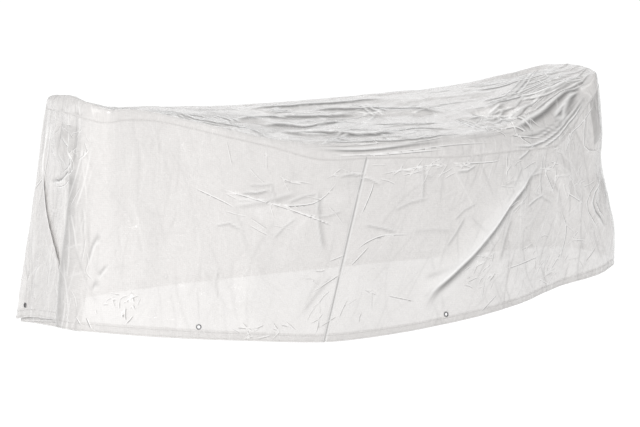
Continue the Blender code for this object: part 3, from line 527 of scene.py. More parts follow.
# The studio
FLOOR_HALF = 60.0
FLOOR_GLOW = 0.95  # the floor's own light, which keeps it near white under soft shadows
BACKDROP = 0.97  # brightness of the surroundings as seen, and as a light
AMBIENT = 0.52
WARM = (1.0, 0.985, 0.97)
PLAIN = (1.0, 1.0, 1.0)
COOL = (0.98, 0.99, 1.0)
LIGHT_AIM = (0.0, 0.0, -0.2)  # the point that every light faces
# Each light: where it stands, its two sizes, its power in watts and its colour.
LIGHTS = (
    ("key", (-5.6, -6.4, 4.6), (1.3, 1.3), 375.0, WARM),
    ("fill", (-5.5, 0.8, 1.4), (1.6, 1.6), 24.0, WARM),
    ("top", (0.2, 1.2, 2.8), (2.4, 1.0), 18.0, PLAIN),
    ("rim", (2.6, 5.2, 1.9), (3.0, 1.6), 12.0, COOL),
)

# The film's finish and its painted shade. Each tone multiplies its colour in cloudy places, where
# it lies double and where the top has painted shade, and in the painted shade of a crease, and
# each share says how far that goes.
CLOUDY_TONE = 0.86
DOUBLED_AND_SHADED_TONE = 0.48
SHADED_TONE = 0.18
CLOUDY_SHARE = 0.5
CLOUDY_FROM = -0.1
DOUBLED_AND_SHADED_SHARE = 0.85
SHADED_SHARE = 0.9
# How much each thing adds to how far the film covers what is behind it
TAPE_COVER = 0.14
CLOUDY_COVER = 0.16
WEAVE_COVER = -0.30
CREST_COVER = 0.42
SHADE_COVER = 0.26
DOUBLED_AND_SHADED_COVER = 0.22
WEAVE_MIDDLE = 0.05  # what makes up for the weave's share
TAPE_FLAT = 0.4  # where a tape's wave is cut off, and how softly
TAPE_SOFT = 0.3
CRACKLE_FLAT = 0.12  # and the same for the crackle's cells
CRACKLE_SOFT = 0.1
CRACKLE_WOBBLE = 0.035  # how far the cells' map is mixed with a noise
SMOOTHEST = 0.13  # the film's least roughness, and what its ripple adds
RIPPLE_ROUGH = 0.24
THREAD_DARK = 0.8  # the thread's darker turns against its colour
METAL_DARK = 0.6  # the metal's tarnish against its colour
METAL_SMOOTHEST = 0.25  # the metal's least roughness, and what tarnish adds
TARNISH_ROUGH = 0.3


# User settings --------------------------------------------------------
class FilmCoverSizes(bpy.types.PropertyGroup):
    """Sizes of the film, its hems and seams, and how strongly it is creased."""

    mesh_step: bpy.props.FloatProperty(
        name="Mesh step", description="Usual distance between two points of the film's grid",
        default=0.005, min=0.003, max=0.02, precision=4, unit="LENGTH",
    )
    hem_fold: bpy.props.FloatProperty(
        name="Hem fold", description="Height of the hem that is folded up inside",
        default=0.027, min=0.01, max=0.06, precision=4, unit="LENGTH",
    )
    seam_lap: bpy.props.FloatProperty(
        name="Seam lap", description="How far one sheet laps over the next at a seam",
        default=0.007, min=0.004, max=0.02, precision=4, unit="LENGTH",
    )
    stitch_pitch: bpy.props.FloatProperty(
        name="Stitch pitch", description="Distance from one stitch to the next",
        default=0.0055, min=0.003, max=0.012, precision=4, unit="LENGTH",
    )
    crease_scale: bpy.props.FloatProperty(
        name="Crease scale", description="Height of the crisp creases against their tables",
        default=1.0, min=0.0, max=2.0,
    )
    crinkle_scale: bpy.props.FloatProperty(
        name="Crinkle scale", description="Height of the crinkles against their tables",
        default=1.0, min=0.0, max=2.0,
    )
    facet_scale: bpy.props.FloatProperty(
        name="Facet scale", description="Height of the faceted crumples against their tables",
        default=1.0, min=0.0, max=2.0,
    )
    tape_pitch: bpy.props.FloatProperty(
        name="Tape pitch", description="Width of one woven tape of the film",
        default=0.006, min=0.001, max=0.01, precision=4, unit="LENGTH",
    )


class FilmCoverLooks(bpy.types.PropertyGroup):
    """Colours and clearness of the film, the metal and the studio."""

    film_colour: bpy.props.FloatVectorProperty(
        name="Film", description="Colour of a single layer of film",
        subtype="COLOR", size=3, default=(0.79, 0.773, 0.763), min=0.0, max=1.0,
    )
    # The crest's colour stands for stress whitening and a painted highlight along a crease.
    crest_colour: bpy.props.FloatVectorProperty(
        name="Crease crests", description="Colour of the film where a crease has whitened it",
        subtype="COLOR", size=3, default=(0.98, 0.975, 0.97), min=0.0, max=1.0,
    )
    film_cover: bpy.props.FloatProperty(
        name="Cover", description="How much of what is behind one layer of film it hides",
        default=0.82, min=0.05, max=1.0, subtype="FACTOR",
    )
    thread_colour: bpy.props.FloatVectorProperty(
        name="Thread", description="Colour of the stitching",
        subtype="COLOR", size=3, default=(0.70, 0.69, 0.68), min=0.0, max=1.0,
    )
    metal_colour: bpy.props.FloatVectorProperty(
        name="Eyelet metal", description="Colour of the eyelets",
        subtype="COLOR", size=3, default=(0.30, 0.30, 0.31), min=0.0, max=1.0,
    )
    floor_colour: bpy.props.FloatVectorProperty(
        name="Floor", description="Colour of the studio floor",
        subtype="COLOR", size=3, default=(0.15, 0.15, 0.15), min=0.0, max=1.0,
    )


def sizes():
    """The sizes that the user has set."""
    return bpy.context.scene.film_cover_sizes


def looks():
    """The colours that the user has set."""
    return bpy.context.scene.film_cover_looks


# Curves and tables ----------------------------------------------------
def column(rows, names, name):
    """One named column of a table, as an array."""
    index = names.index(name)
    return np.array([row[index] for row in rows], float)


def smooth(share):
    """An ease from 0 to 1: 3t squared less 2t cubed."""
    t = np.clip(share, 0.0, 1.0)
    return t * t * (3.0 - 2.0 * t)


def curve_through(knots, values, at):
    """A smooth curve through values at rising knots: cubic, with three-point slopes."""
    knots = np.asarray(knots, float)
    values = np.asarray(values, float)
    ones = (1,) * (values.ndim - 1)
    steps = np.diff(knots).reshape(-1, *ones)
    rises = np.diff(values, axis=0) / steps
    before, after = steps[:-1], steps[1:]
    inner = (rises[:-1] * after + rises[1:] * before) / (before + after)
    slopes = np.concatenate([rises[:1], inner, rises[-1:]])
    span = np.clip(np.searchsorted(knots, at, side="right") - 1, 0, len(steps) - 1)
    width = steps[span]
    t = (at - knots[span]).reshape(np.shape(at) + ones) / width
    start = (2 * t**3 - 3 * t**2 + 1) * values[span] + (t**3 - 2 * t**2 + t) * width * slopes[span]
    end = (3 * t**2 - 2 * t**3) * values[span + 1] + (t**3 - t**2) * width * slopes[span + 1]
    return start + end


GROUND = np.array([0.0, 0.0, LIFT])
SEAM_COLUMNS = [column(RING, RING_COLUMNS, f"seam_{axis}") for axis in "xyz"]
HEM_COLUMNS = [column(RING, RING_COLUMNS, f"hem_{axis}") for axis in "xyz"]
SEAM_RING = np.stack(SEAM_COLUMNS, axis=1) - GROUND
HEM_RING = np.stack(HEM_COLUMNS, axis=1) - GROUND
RISES = column(RING, RING_COLUMNS, "rise")
HEM_STEPS = np.linalg.norm(np.roll(HEM_RING, -1, axis=0) - HEM_RING, axis=1)
AROUND = float(HEM_STEPS.sum())  # length of the hem's ring
STATION_ALONG = np.concatenate([[0.0], np.cumsum(HEM_STEPS)[:-1]])
WRAP = 3  # stations repeated at each end, so that the curve closes smoothly


def along_of(name):
    """How far along the ring a named station lies."""
    names = [row[0] for row in RING]
    return float(STATION_ALONG[names.index(name)])


def ring_at(values, along):
    """A quantity given at the stations, read anywhere along the closed ring."""
    before = STATION_ALONG[-WRAP:] - AROUND
    after = STATION_ALONG[:WRAP] + AROUND
    knots = np.concatenate([before, STATION_ALONG, after])
    looped = np.concatenate([values[-WRAP:], values, values[:WRAP]])
    return curve_through(knots, looped, np.mod(along, AROUND))


def outward_at(along):
    """The level direction that points away from the cover: the ring's tangent, turned left."""
    step = 0.01
    middle = 0.5 * (SEAM_RING + HEM_RING)
    tangent = ring_at(middle, along + step) - ring_at(middle, along - step)
    outward = np.stack([-tangent[..., 1], tangent[..., 0], np.zeros(tangent.shape[:-1])], axis=-1)
    return unit(outward)


def unit(ways):
    """The same directions with a length of one."""
    return ways / np.linalg.norm(ways, axis=-1, keepdims=True)


def seam_and_down(along):
    """Points of the seam, and at each the direction down the skirt to the hem."""
    seam = ring_at(SEAM_RING, along)
    return seam, unit(ring_at(HEM_RING, along) - seam)


def spaced(samples, need):
    """Places between the samples such that each step uses up one unit of the running need."""
    reach = np.concatenate([[0.0], np.cumsum(0.5 * (need[1:] + need[:-1]) * np.diff(samples))])
    count = max(2, int(math.ceil(reach[-1])))
    return np.interp(np.linspace(0.0, reach[-1], count + 1), reach, samples)


# Relief: folds, creases, crinkles and facets --------------------------
def fold_height(first, second, folds):
    """The sum of soft folds: height by a bell curve of the distance, fading at both ends."""
    total = np.zeros(np.shape(first))
    for _, start_a, start_b, stop_a, stop_b, width, height in folds:
        way_a, way_b = stop_a - start_a, stop_b - start_b
        length = math.hypot(way_a, way_b)
        run = ((first - start_a) * way_a + (second - start_b) * way_b) / length
        side = ((first - start_a) * way_b - (second - start_b) * way_a) / length
        fade = smooth(run / (FOLD_FADE * length)) * smooth((length - run) / (FOLD_FADE * length))
        total = total + height * fade * np.exp(-((side / width) ** 2))
    return total


def swell_height(along, level):
    """The sum of the skirt's swellings: a bell across, an ease up to the peak and down from it."""
    total = np.zeros(np.shape(along))
    for _, station, further, half_width, top, bottom, peak, height in SWELLS:
        across = (along - along_of(station) - further) / half_width
        down = (level - top) / (bottom - top)
        bell = np.clip(1.0 - across**2, 0.0, 1.0) ** 2
        total = total + height * bell * smooth(down / peak) * smooth((1.0 - down) / (1.0 - peak))
    return total


def tent(distance, width):
    """A crest with a crisp top: e to the minus distance over width, rounded close to the line."""
    return np.exp(TENT_ROUNDING - np.sqrt((distance / width) ** 2 + TENT_ROUNDING**2))


def blank_relief(shape):
    """No relief. A relief is five arrays: height, crest and shade, and then the signed distance to
    the closest thin crease, called its gap, and how strongly that crease shows."""
    return np.zeros(shape), np.zeros(shape), np.zeros(shape), np.full(shape, FAR), np.zeros(shape)


def closer(first, second):
    """Of two pairs of gap and strength, the one with the smaller gap at each point, where a pair
    without strength counts as many times further off."""
    first_gap = np.abs(first[0]) * (1.0 + FAR_WEIGHT * (first[1] <= 0))
    second_gap = np.abs(second[0]) * (1.0 + FAR_WEIGHT * (second[1] <= 0))
    nearer = second_gap < first_gap
    return np.where(nearer, second[0], first[0]), np.where(nearer, second[1], first[1])


def weighed(relief, share):
    """A relief whose heights and tones are kept only by a share at each point."""
    raised, crest, shade, gap, thin = relief
    return raised * share, crest * share, shade * share, gap, thin * share


def beside_line(a, b, knots):
    """The distance to a bent line, the share of the line at which it is closest, and the distance
    to the left of that stretch: the cross product of the stretch's way and the way to the point."""
    lengths = np.linalg.norm(np.diff(knots, axis=0), axis=1)
    starts = np.concatenate([[0.0], np.cumsum(lengths)[:-1]])
    nearest = np.full(a.shape, np.inf)
    place = np.zeros(a.shape)
    left = np.zeros(a.shape)
    for start, stop, length, before in zip(knots[:-1], knots[1:], lengths, starts):
        way = (stop - start) / length
        run = np.clip((a - start[0]) * way[0] + (b - start[1]) * way[1], 0.0, length)
        distance = np.hypot(a - start[0] - run * way[0], b - start[1] - run * way[1])
        here = distance < nearest
        nearest = np.where(here, distance, nearest)
        place = np.where(here, before + run, place)
        left = np.where(here, (b - start[1]) * way[0] - (a - start[0]) * way[1], left)
    return nearest, place / lengths.sum(), left


def line_relief(first, second, points, width, height, lee):
    """Relief of a crease along a bent line, by the signed distance to it.

    The crease falls off slowly on one side and steeply on its lee side. The bright crest lies on
    the line, as stress whitening and a painted highlight, and a painted dark shade close beside it to
    lee, each a bell curve of the distance. A trough has its painted shade on the line. A thin crease
    gives its signed distance and strength instead."""
    knots = np.array(points)
    reach = CREASE_REACH * width
    near = (first > knots[:, 0].min() - reach) & (first < knots[:, 0].max() + reach)
    near &= (second > knots[:, 1].min() - reach) & (second < knots[:, 1].max() + reach)
    nearest, share, left = beside_line(first[near], second[near], knots)
    fade = smooth(share / LINE_FADE) * smooth((1.0 - share) / LINE_FADE)
    strength = fade * min(1.0, abs(height) / CREST_HEIGHT)
    whole = knots[-1] - knots[0]
    lee_side = 1.0 if whole[0] * lee[1] - whole[1] * lee[0] > 0 else -1.0
    to_lee = nearest * np.where(left * lee_side > 0, 1.0, -1.0)

    raised, crest, shade, gap, thin = blank_relief(first.shape)
    is_thin = width < THIN_WIDTH
    tall = THIN_RELIEF * height if is_thin else height
    raised[near] = tall * fade * tent(nearest, np.where(to_lee > 0, width * LEE_SHARE, width))
    if is_thin:
        gap[near] = to_lee
        thin[near] = strength * (1.0 - smooth((nearest - HAIR_REACH) / HAIR_FADE))
        return raised, crest, shade, gap, thin
    crest_width = max(CREST_WIDTH, CREST_SHARE * width)
    shade_width = max(SHADE_WIDTH, SHADE_SHARE * width)
    offset = max(SHADE_OFFSET, OFFSET_SHARE * width)
    shift = 0.0 if height > 0 else -offset
    # The crest is stress whitening and a painted highlight, the shade is painted shade, and a broad
    # crease's slow side gets a painted sheen.
    slow_side = np.exp(np.minimum(to_lee, 0.0) / width)
    band = BAND_SHINE * (to_lee < 0) * slow_side * (width > BAND_WIDTH)
    crest[near] = strength * np.maximum(np.exp(-(((to_lee - shift) / crest_width) ** 2)), band)
    shade[near] = strength * np.exp(-(((to_lee - shift - offset) / shade_width) ** 2))
    return raised, crest, shade, gap, thin


def bent(points):
    """A smooth curve through a crease's points, with three steps to a stretch."""
    knots = np.array(points, float)
    if len(knots) < 3:
        return knots
    last = len(knots) - 1
    steps = np.linspace(0.0, last, 3 * last + 1)
    return curve_through(np.arange(len(knots), dtype=float), knots, steps)


def echoed(lines, seed):
    """Each crease, and beside a middling one two fainter and shorter ones, at seeded distances
    that grow along it, as creases fan out from where the cloth is held up."""
    draw = np.random.default_rng(seed)
    family = []
    for name, points, width, height in lines:
        knots = bent(points)
        family.append((name, knots, width, height))
        if not THIN_WIDTH <= width < ECHO_WIDEST:
            continue
        way = knots[-1] - knots[0]
        side = np.array([-way[1], way[0]]) / math.hypot(*way)
        fan = np.linspace(*ECHO_FAN, len(knots))[:, None]
        for hand in (-1.0, 1.0):
            away = hand * draw.uniform(*ECHO_GAPS) * ECHO_GAP * fan
            start = int(draw.uniform(0.0, ECHO_CUTS[0]) * len(knots))
            stop = len(knots) - int(draw.uniform(0.0, ECHO_CUTS[1]) * len(knots))
            faint = height * draw.uniform(*ECHO_HEIGHTS)
            family.append((name, (knots + side * away)[start:stop], ECHO_WIDTH * width, faint))
    return family


def layered(shape, parts):
    """One relief of many, each given as (relief, scale, shine): heights added, the strongest
    crest and shade, and the closest thin crease."""
    raised, crest, shade, gap, thin = blank_relief(shape)
    for part, scale, shine in parts:
        tone = min(1.0, scale) * shine
        raised = raised + part[0] * scale
        crest = np.maximum(crest, part[1] * tone)
        shade = np.maximum(shade, part[2] * tone)
        gap, thin = closer((gap, thin), (part[3], part[4] * tone))
    return raised, crest, shade, gap, thin


def line_set(first, second, lines, lee):
    """The creases of one table as one relief."""
    reliefs = (
        line_relief(first, second, points, width, height, lee)
        for _, points, width, height in lines
    )
    return layered(first.shape, ((relief, 1.0, 1.0) for relief in reliefs))


def crinkle_set(first, second, clusters, lee, seed):
    """Short creases strewn over each cluster's oval, with seeded places, turns, lengths and signs."""
    lines = []
    draw = np.random.default_rng(seed)
    for _, middle_a, middle_b, half_a, half_b, angle, scatter, count, length, height in clusters:
        for _ in range(count):
            turn = draw.uniform(0.0, 2.0 * math.pi)
            out = math.sqrt(draw.uniform())
            place_a = middle_a + half_a * out * math.cos(turn)
            place_b = middle_b + half_b * out * math.sin(turn)
            at = np.array([place_a, place_b])
            lean = math.radians(angle + scatter * draw.normal())
            bend = lean + draw.normal() * CRINKLE_BEND
            long = length * draw.uniform(*CRINKLE_LENGTHS)
            half = 0.5 * long * np.array([math.cos(lean), math.sin(lean)])
            rest = 0.5 * long * np.array([math.cos(bend), math.sin(bend)])
            tall = height * draw.uniform(*CRINKLE_HEIGHTS)
            tall *= 1.0 if draw.uniform() < CRINKLE_RAISED else -1.0
            width = max(CRINKLE_NARROWEST, CRINKLE_WIDTH * long)
            lines.append(("crinkle", (at - half, at, at + rest), width, tall))
    return line_set(first, second, lines, lee)


def facet_wave(first, second, angle, scatter, length, draw):
    """A triangle wave from 0 to 1 in a seeded direction, its period, and a slow mask of its own.

    The wave's folds are bowed by a sine each way. The mask is the product of two slow sines."""
    lean = math.radians(angle + 90.0 + scatter * draw.normal())
    period = length * draw.uniform(*FACET_PERIODS)
    start = draw.uniform(0.0, FACET_SHIFT)
    bow = FACET_BOW * period * np.sin(first * FACET_BENDS[0] / length + start)
    start = draw.uniform(0.0, FACET_SHIFT)
    bow += FACET_BOW * period * np.sin(second * FACET_BENDS[1] / length + start)
    phase = (first * math.cos(lean) + second * math.sin(lean) + bow) / period + draw.uniform()
    saw = np.abs(phase - np.floor(phase) - 0.5) * 2.0
    turn = draw.uniform(0.0, math.pi)
    slow = draw.uniform(*MASK_LENGTHS) * length
    ahead = first * math.cos(turn) + second * math.sin(turn)
    aside = second * math.cos(turn) - first * math.sin(turn)
    mask = np.sin(ahead / slow * MASK_WAVES[0] * math.pi + turn)
    mask *= np.sin(aside / slow * MASK_WAVES[1] * math.pi + MASK_SHIFT * turn)
    return saw, period, smooth(mask * MASK_EDGE)


def facet_set(first, second, facets, seed):
    """Sharp-folded waves, each under its mask, with a painted highlight on their crests and a painted
    shade in their troughs.
    """
    raised, crest, shade, gap, thin = blank_relief(first.shape)
    draw = np.random.default_rng(seed)
    for _, angle, scatter, length, height, count in facets:
        for _ in range(count):
            saw, period, mask = facet_wave(first, second, angle, scatter, length, draw)
            raised += height * mask * (saw - 0.5)
            strength = mask * min(1.0, height / CREST_HEIGHT)
            bright = np.exp(-(((1.0 - saw) * 0.5 * period / CREST_WIDTH) ** 2))
            dark = np.exp(-((saw * 0.5 * period / SHADE_WIDTH) ** 2))
            crest = np.maximum(crest, strength * bright)
            shade = np.maximum(shade, strength * dark)
    return raised, crest, shade, gap, thin


# The skirt ------------------------------------------------------------
def skirt_base(along, level, depth, drop):
    """Points of the skirt: straight from seam to hem by level, stood out by depth, lowered by drop."""
    seam = ring_at(SEAM_RING, along)
    hem = ring_at(HEM_RING, along)
    points = seam + (hem - seam) * level[..., None]
    outward = outward_at(along)
    fold = np.where(
        outward[..., 1] < FRONT_FACING,
        fold_height(points[..., 0], points[..., 2] + LIFT, FRONT_FOLDS),
        0.0,
    )
    fold = fold + swell_height(along, level)
    points = points + outward * (depth + fold)[..., None]
    points[..., 2] -= drop
    return points, outward


def skirt_relief(points, outward, along, level, seed):
    """Relief of the skirt: each side's creases and crinkles by the side's own chart, and facets
    along the cloth, which are stronger at the right and round the ends."""
    height_here = points[..., 2] + LIFT
    sides = (
        ("front", -outward[..., 1], points[..., 0], FRONT_LINES, FRONT_CRINKLES),
        ("back", outward[..., 1], points[..., 0], BACK_LINES, BACK_CRINKLES),
        ("left", -outward[..., 0], points[..., 1], LEFT_LINES, END_CRINKLES),
        ("right", outward[..., 0], points[..., 1], RIGHT_LINES, END_CRINKLES),
    )
    scale = sizes()
    facets = facet_set(along, level * TYPICAL_DROP, SKIRT_FACETS, seed)
    crumpled = smooth((points[..., 0] - CALM_UNTIL) / CALM_EASE)
    crumpled = CALM_FRONT + (1.0 - CALM_FRONT) * crumpled
    crumpled = np.maximum(crumpled, smooth((outward[..., 1] - CALM_TURNED) / CALM_EASE))
    parts = [(weighed(facets, crumpled), scale.facet_scale, FACET_SHINE)]
    for side, facing, first, lines, clusters in sides:
        share = smooth((facing - SIDE_FACING) / SIDE_EASE)
        if not share.any():
            continue
        family = echoed(lines, ECHO_SEEDS[side])
        creases = line_set(first, height_here, family, SIDE_LEE)
        crinkles = crinkle_set(first, height_here, clusters, SIDE_LEE, CRINKLE_SEEDS[side])
        parts.append((weighed(creases, share), scale.crease_scale, 1.0))
        parts.append((weighed(crinkles, share), scale.crinkle_scale, CRINKLE_SHINE))
    return layered(along.shape, parts)


def patch_share(along, level):
    """How far the cloth lies double: the darkest of the patches, each with a soft-cornered edge."""
    total = np.zeros(along.shape)
    for _, station, further, half_width, top, bottom, dark in PATCHES:
        across = np.abs(along - along_of(station) - further) / half_width
        down = np.abs(level - 0.5 * (top + bottom)) / (0.5 * (bottom - top))
        inside = smooth((1.0 - across) / PATCH_EASE[0]) * smooth((1.0 - down) / PATCH_EASE[1])
        total = np.maximum(total, dark * inside)
    return total


def folded_edges(columns):
    """A painted highlight on each folded edge of the pleat, and a painted shadow strip beside the
    near one: bell curves of how many bends a column is from them, and nothing on the plain columns."""
    names = [row[0] for row in PLEAT]
    before, bends, after = columns
    bright = np.zeros(len(bends))
    for name in PLEAT_EDGES:
        bright = np.maximum(bright, np.exp(-(((bends - names.index(name)) / EDGE_BENDS) ** 2)))
    dark = np.exp(-(((bends - names.index(STRIP_BESIDE)) / STRIP_BENDS) ** 2))
    around = (len(before), len(after))
    return np.pad(bright, around), np.pad(dark, around)


def pleat_columns(bends, levels):
    """Along, depth and drop of the pleat's columns, each counted in bends, at each level."""
    knots = np.arange(len(PLEAT), dtype=float)
    across = np.stack([column(PLEAT, PLEAT_COLUMNS, name) for name in PLEAT_COLUMNS[1:6]])
    across_here = curve_through(knots, across.T, bends).T
    along = along_of("left_pleat") + curve_through(PLEAT_LEVELS, across_here, levels)
    high = curve_through(knots, column(PLEAT, PLEAT_COLUMNS, "depth_high"), bends)
    low = curve_through(knots, column(PLEAT, PLEAT_COLUMNS, "depth_low"), bends)
    sag = curve_through(knots, column(PLEAT, PLEAT_COLUMNS, "drop"), bends)
    opened = smooth((levels - PLEAT_OPEN[0]) / (PLEAT_OPEN[1] - PLEAT_OPEN[0]))
    opened = np.maximum(opened, PLEAT_SHUT)[:, None]
    deep = smooth((levels - PLEAT_DEEP[0]) / (PLEAT_DEEP[1] - PLEAT_DEEP[0]))[:, None]
    depth = opened * (high * (1.0 - deep) + low * deep)
    drop = sag * smooth(2.0 * levels - 1.0)[:, None]
    return along, depth, drop


def sheet_columns(before, bends, after, levels):
    """Along, depth and drop at each level for a run of plain columns, the pleat and a plain run."""
    rows = len(levels)
    flat_before = np.broadcast_to(before, (rows, len(before)))
    flat_after = np.broadcast_to(after, (rows, len(after)))
    if not len(bends):
        along = np.concatenate([flat_before, flat_after], axis=1)
        return along, np.zeros(along.shape), np.zeros(along.shape)
    along, depth, drop = pleat_columns(bends, levels)
    along = np.concatenate([flat_before, along, flat_after], axis=1)
    around = ((0, 0), (len(before), len(after)))
    return along, np.pad(depth, around), np.pad(drop, around)


def eyelet_places():
    """How far along the ring each eyelet lies."""
    return {name: along_of(station) + further for name, station, further in EYELETS}


def calm_near_eyelets(points):
    """A share that falls from 1 to 0 within a short distance of each eyelet."""
    share = np.ones(points.shape[:-1])
    for name in EYELET_NODES:
        centre, _ = eyelet_frame(name)
        distance = np.linalg.norm(points - centre, axis=-1)
        share = share * smooth(distance / CALM - CALM_START)
    return share


def skirt_film(columns, levels, insets, seed, lap_from=None):
    """Points, outward directions and values for the film's material of one length of skirt.

    Insets move each row inwards, for the folded hem. Past lap_from, the sheet stands out by a
    layer more, where it laps over the other length: there it is double, with a painted highlight
    along each of its two edges."""
    along, depth, drop = sheet_columns(*columns, levels)
    level = np.broadcast_to(levels[:, None], along.shape)
    points, outward = skirt_base(along, level, depth, drop)
    raised, crest, shade, gap, thin = skirt_relief(points, outward, along, level, seed)
    calm = smooth(level * TYPICAL_DROP / SEAM_CALM) * calm_near_eyelets(points)
    raised = raised * calm - insets[:, None]
    # Painted highlights on the pleat's folded edges, and a painted shadow strip beside the near one.
    bright, dark = folded_edges(columns)
    edges_here = smooth((level - EDGE_FROM) / LEVEL_EASE)
    strip_here = smooth((level - STRIP_FROM) / LEVEL_EASE)
    crest = np.maximum(crest * calm, EDGE_SHINE * bright * edges_here)
    shade = np.maximum(shade * calm, STRIP_SHADE * dark * strip_here)
    doubled_and_shaded = patch_share(along, level)
    if lap_from is not None:
        past = along - lap_from
        raised = raised + LAYER * smooth(past / LAP_RISE)
        doubled_and_shaded = np.maximum(doubled_and_shaded, smooth((past + LAP_EASE) / LAP_EASE))
        # A painted highlight along each of the lap's two edges.
        for edge in (LAP_FIRST_LINE, along.max() - lap_from):
            crest = np.maximum(crest, LAP_SHINE * np.exp(-(((past - edge) / LAP_LINE) ** 2)))
    points = points + outward * raised[..., None]
    values = {"crest": crest, "shade": shade, "doubled_and_shaded": doubled_and_shaded, "gap": gap, "thin": thin * calm}
    return points, outward, values


# The top --------------------------------------------------------------
def top_height(x, share):
    """Height at a length x and a share across, 0 at the front and 1 at the back: a parabola
    through the section's three heights."""
    knots = column(TOP_SECTIONS, TOP_COLUMNS, "x")
    table = [column(TOP_SECTIONS, TOP_COLUMNS, name) for name in TOP_COLUMNS[1:]]
    heights = curve_through(knots, np.stack(table, axis=1), np.clip(x, knots[0], knots[-1]))
    front, middle, back = np.moveaxis(heights, -1, 0)
    ends = front * (1 - share) * (1 - 2 * share) + back * share * (2 * share - 1)
    return ends + middle * 4 * share * (1 - share) - LIFT


def inner_ring(along):
    """Plan of the line where the rim ends: the seam moved inwards by the rim's reach."""
    inner = ring_at(SEAM_RING, along) - outward_at(along) * RIM
    inner[..., 2] = 0.0
    return inner


def top_grid(front, back, left, right):
    """The top's inner points: a Coons patch between four rows of the inner ring, then the heights."""
    near_side, far_side = inner_ring(front)[:, None], inner_ring(back)[:, None]
    left_side, right_side = inner_ring(left)[None], inner_ring(right)[None]
    run = np.linspace(0.0, 1.0, len(front))[:, None, None]
    over = np.linspace(0.0, 1.0, len(left))[None, :, None]
    near_corners = near_side[:1] * (1 - run) + near_side[-1:] * run
    far_corners = far_side[:1] * (1 - run) + far_side[-1:] * run
    corners = near_corners * (1 - over) + far_corners * over
    across = near_side * (1 - over) + far_side * over
    points = across + left_side * (1 - run) + right_side * run - corners
    share = np.broadcast_to(over[..., 0], points.shape[:2])
    points[..., 2] = top_height(points[..., 0], share)
    points[..., 2] += fold_height(points[..., 0], points[..., 1], TOP_FOLDS)
    return points


def painted_shade_share(points):
    """How far the top is greyed by painted shade: the strongest of a few bells in plan."""
    total = np.zeros(len(points))
    for _, middle_x, middle_y, half_x, half_y, dark in TOP_PAINTED_SHADE:
        along_x = (points[:, 0] - middle_x) / half_x
        across_y = (points[:, 1] - middle_y) / half_y
        total = np.maximum(total, dark * np.exp(-(along_x**2) - across_y**2))
    return total


def top_relief(points):
    """Relief of the top in plan: its creases, crinkles and facets."""
    first, second = points[..., 0], points[..., 1]
    scale = sizes()
    creases = line_set(first, second, echoed(TOP_LINES, ECHO_SEEDS["top"]), TOP_LEE)
    crinkles = crinkle_set(first, second, TOP_CRINKLES, TOP_LEE, CRINKLE_SEEDS["top"])
    facets = facet_set(first, second, TOP_FACETS, FACET_SEEDS["top"])
    return layered(first.shape, (
        (creases, scale.crease_scale, 1.0),
        (crinkles, scale.crinkle_scale, CRINKLE_SHINE),
        (facets, scale.facet_scale, FACET_SHINE),
    ))


def rim_base(along, inner, turns):
    """The rim: a weighted quadratic curve from the seam, over a point straight above it, to the
    inner ring. The weight draws it closer to that point, so that it is crisper at the ends."""
    seam, down = seam_and_down(along)
    over = seam - down * ring_at(RISES, along)[:, None]
    t = turns[:, None, None]
    weight = smooth((np.abs(seam[:, :1]) - RIM_CRISP_FROM) / RIM_CRISP_EASE)
    weight = RIM_ROUND + RIM_CRISP * weight
    middle = 2 * weight * t * (1 - t)
    points = (1 - t) ** 2 * seam + middle * over + t**2 * inner
    points = points / ((1 - t) ** 2 + middle + t**2)
    points[..., 2] += t[..., 0] * fold_height(points[..., 0], points[..., 1], TOP_FOLDS)
    return points


def rim_turns(along, inner, step):
    """The curve's parameters at which the rim's rows lie, evenly spaced along its mean length."""
    fine = np.linspace(0.0, 1.0, RIM_SAMPLES)
    reach = distances(rim_base(along, inner, fine), 0).mean(axis=1)
    rows = int(RIM_ROWS * reach[-1] / step) + 2
    return np.interp(np.linspace(0.0, reach[-1], rows), reach, fine)[:-1]


def rim_relief(rim, along, turns):
    """The rim's relief and the way in which it stands: the skirt's and outwards at the seam, then
    by and by the top's and upwards. A thin crease comes from the one of the two that counts for more."""
    outward = np.broadcast_to(outward_at(along), rim.shape)
    lean = smooth((turns - RIM_LEAN_FROM) / RIM_LEAN_EASE)[:, None]
    run = distances(rim, 0)
    places = np.broadcast_to(along, run.shape)
    lower = skirt_relief(rim, outward, places, -run / TYPICAL_DROP, FACET_SEEDS["rim"])
    upper = top_relief(rim)
    calm = smooth(run / RIM_CALM)
    mixed = [(upper[part] * lean + lower[part] * (1.0 - lean)) * calm for part in range(3)]
    over_half = np.broadcast_to(lean > 0.5, calm.shape)
    mixed.append(np.where(over_half, upper[3], lower[3]))
    mixed.append(np.where(over_half, upper[4], lower[4]) * calm)
    lean = lean[..., None]
    way = outward * (1.0 - lean) + UPWARD * lean
    return mixed, unit(way)


def top_lap(along):
    """Three rings of the top's lap over the skirt, from its lower edge up to the seam."""
    lap = sizes().seam_lap
    downs = np.array([lap, 0.5 * lap, 0.0])
    seam, down = seam_and_down(along)
    return seam + down * downs[:, None, None] + outward_at(along) * LAYER * TOP_LIFT


# Meshes ---------------------------------------------------------------
def grid_quads(rows, columns, start=0):
    """Quads of a grid of rows and columns, numbered row by row from start."""
    row, place = np.meshgrid(np.arange(rows - 1), np.arange(columns - 1), indexing="ij")
    corner = (start + row * columns + place).ravel()
    return np.stack([corner, corner + 1, corner + columns + 1, corner + columns], axis=1)


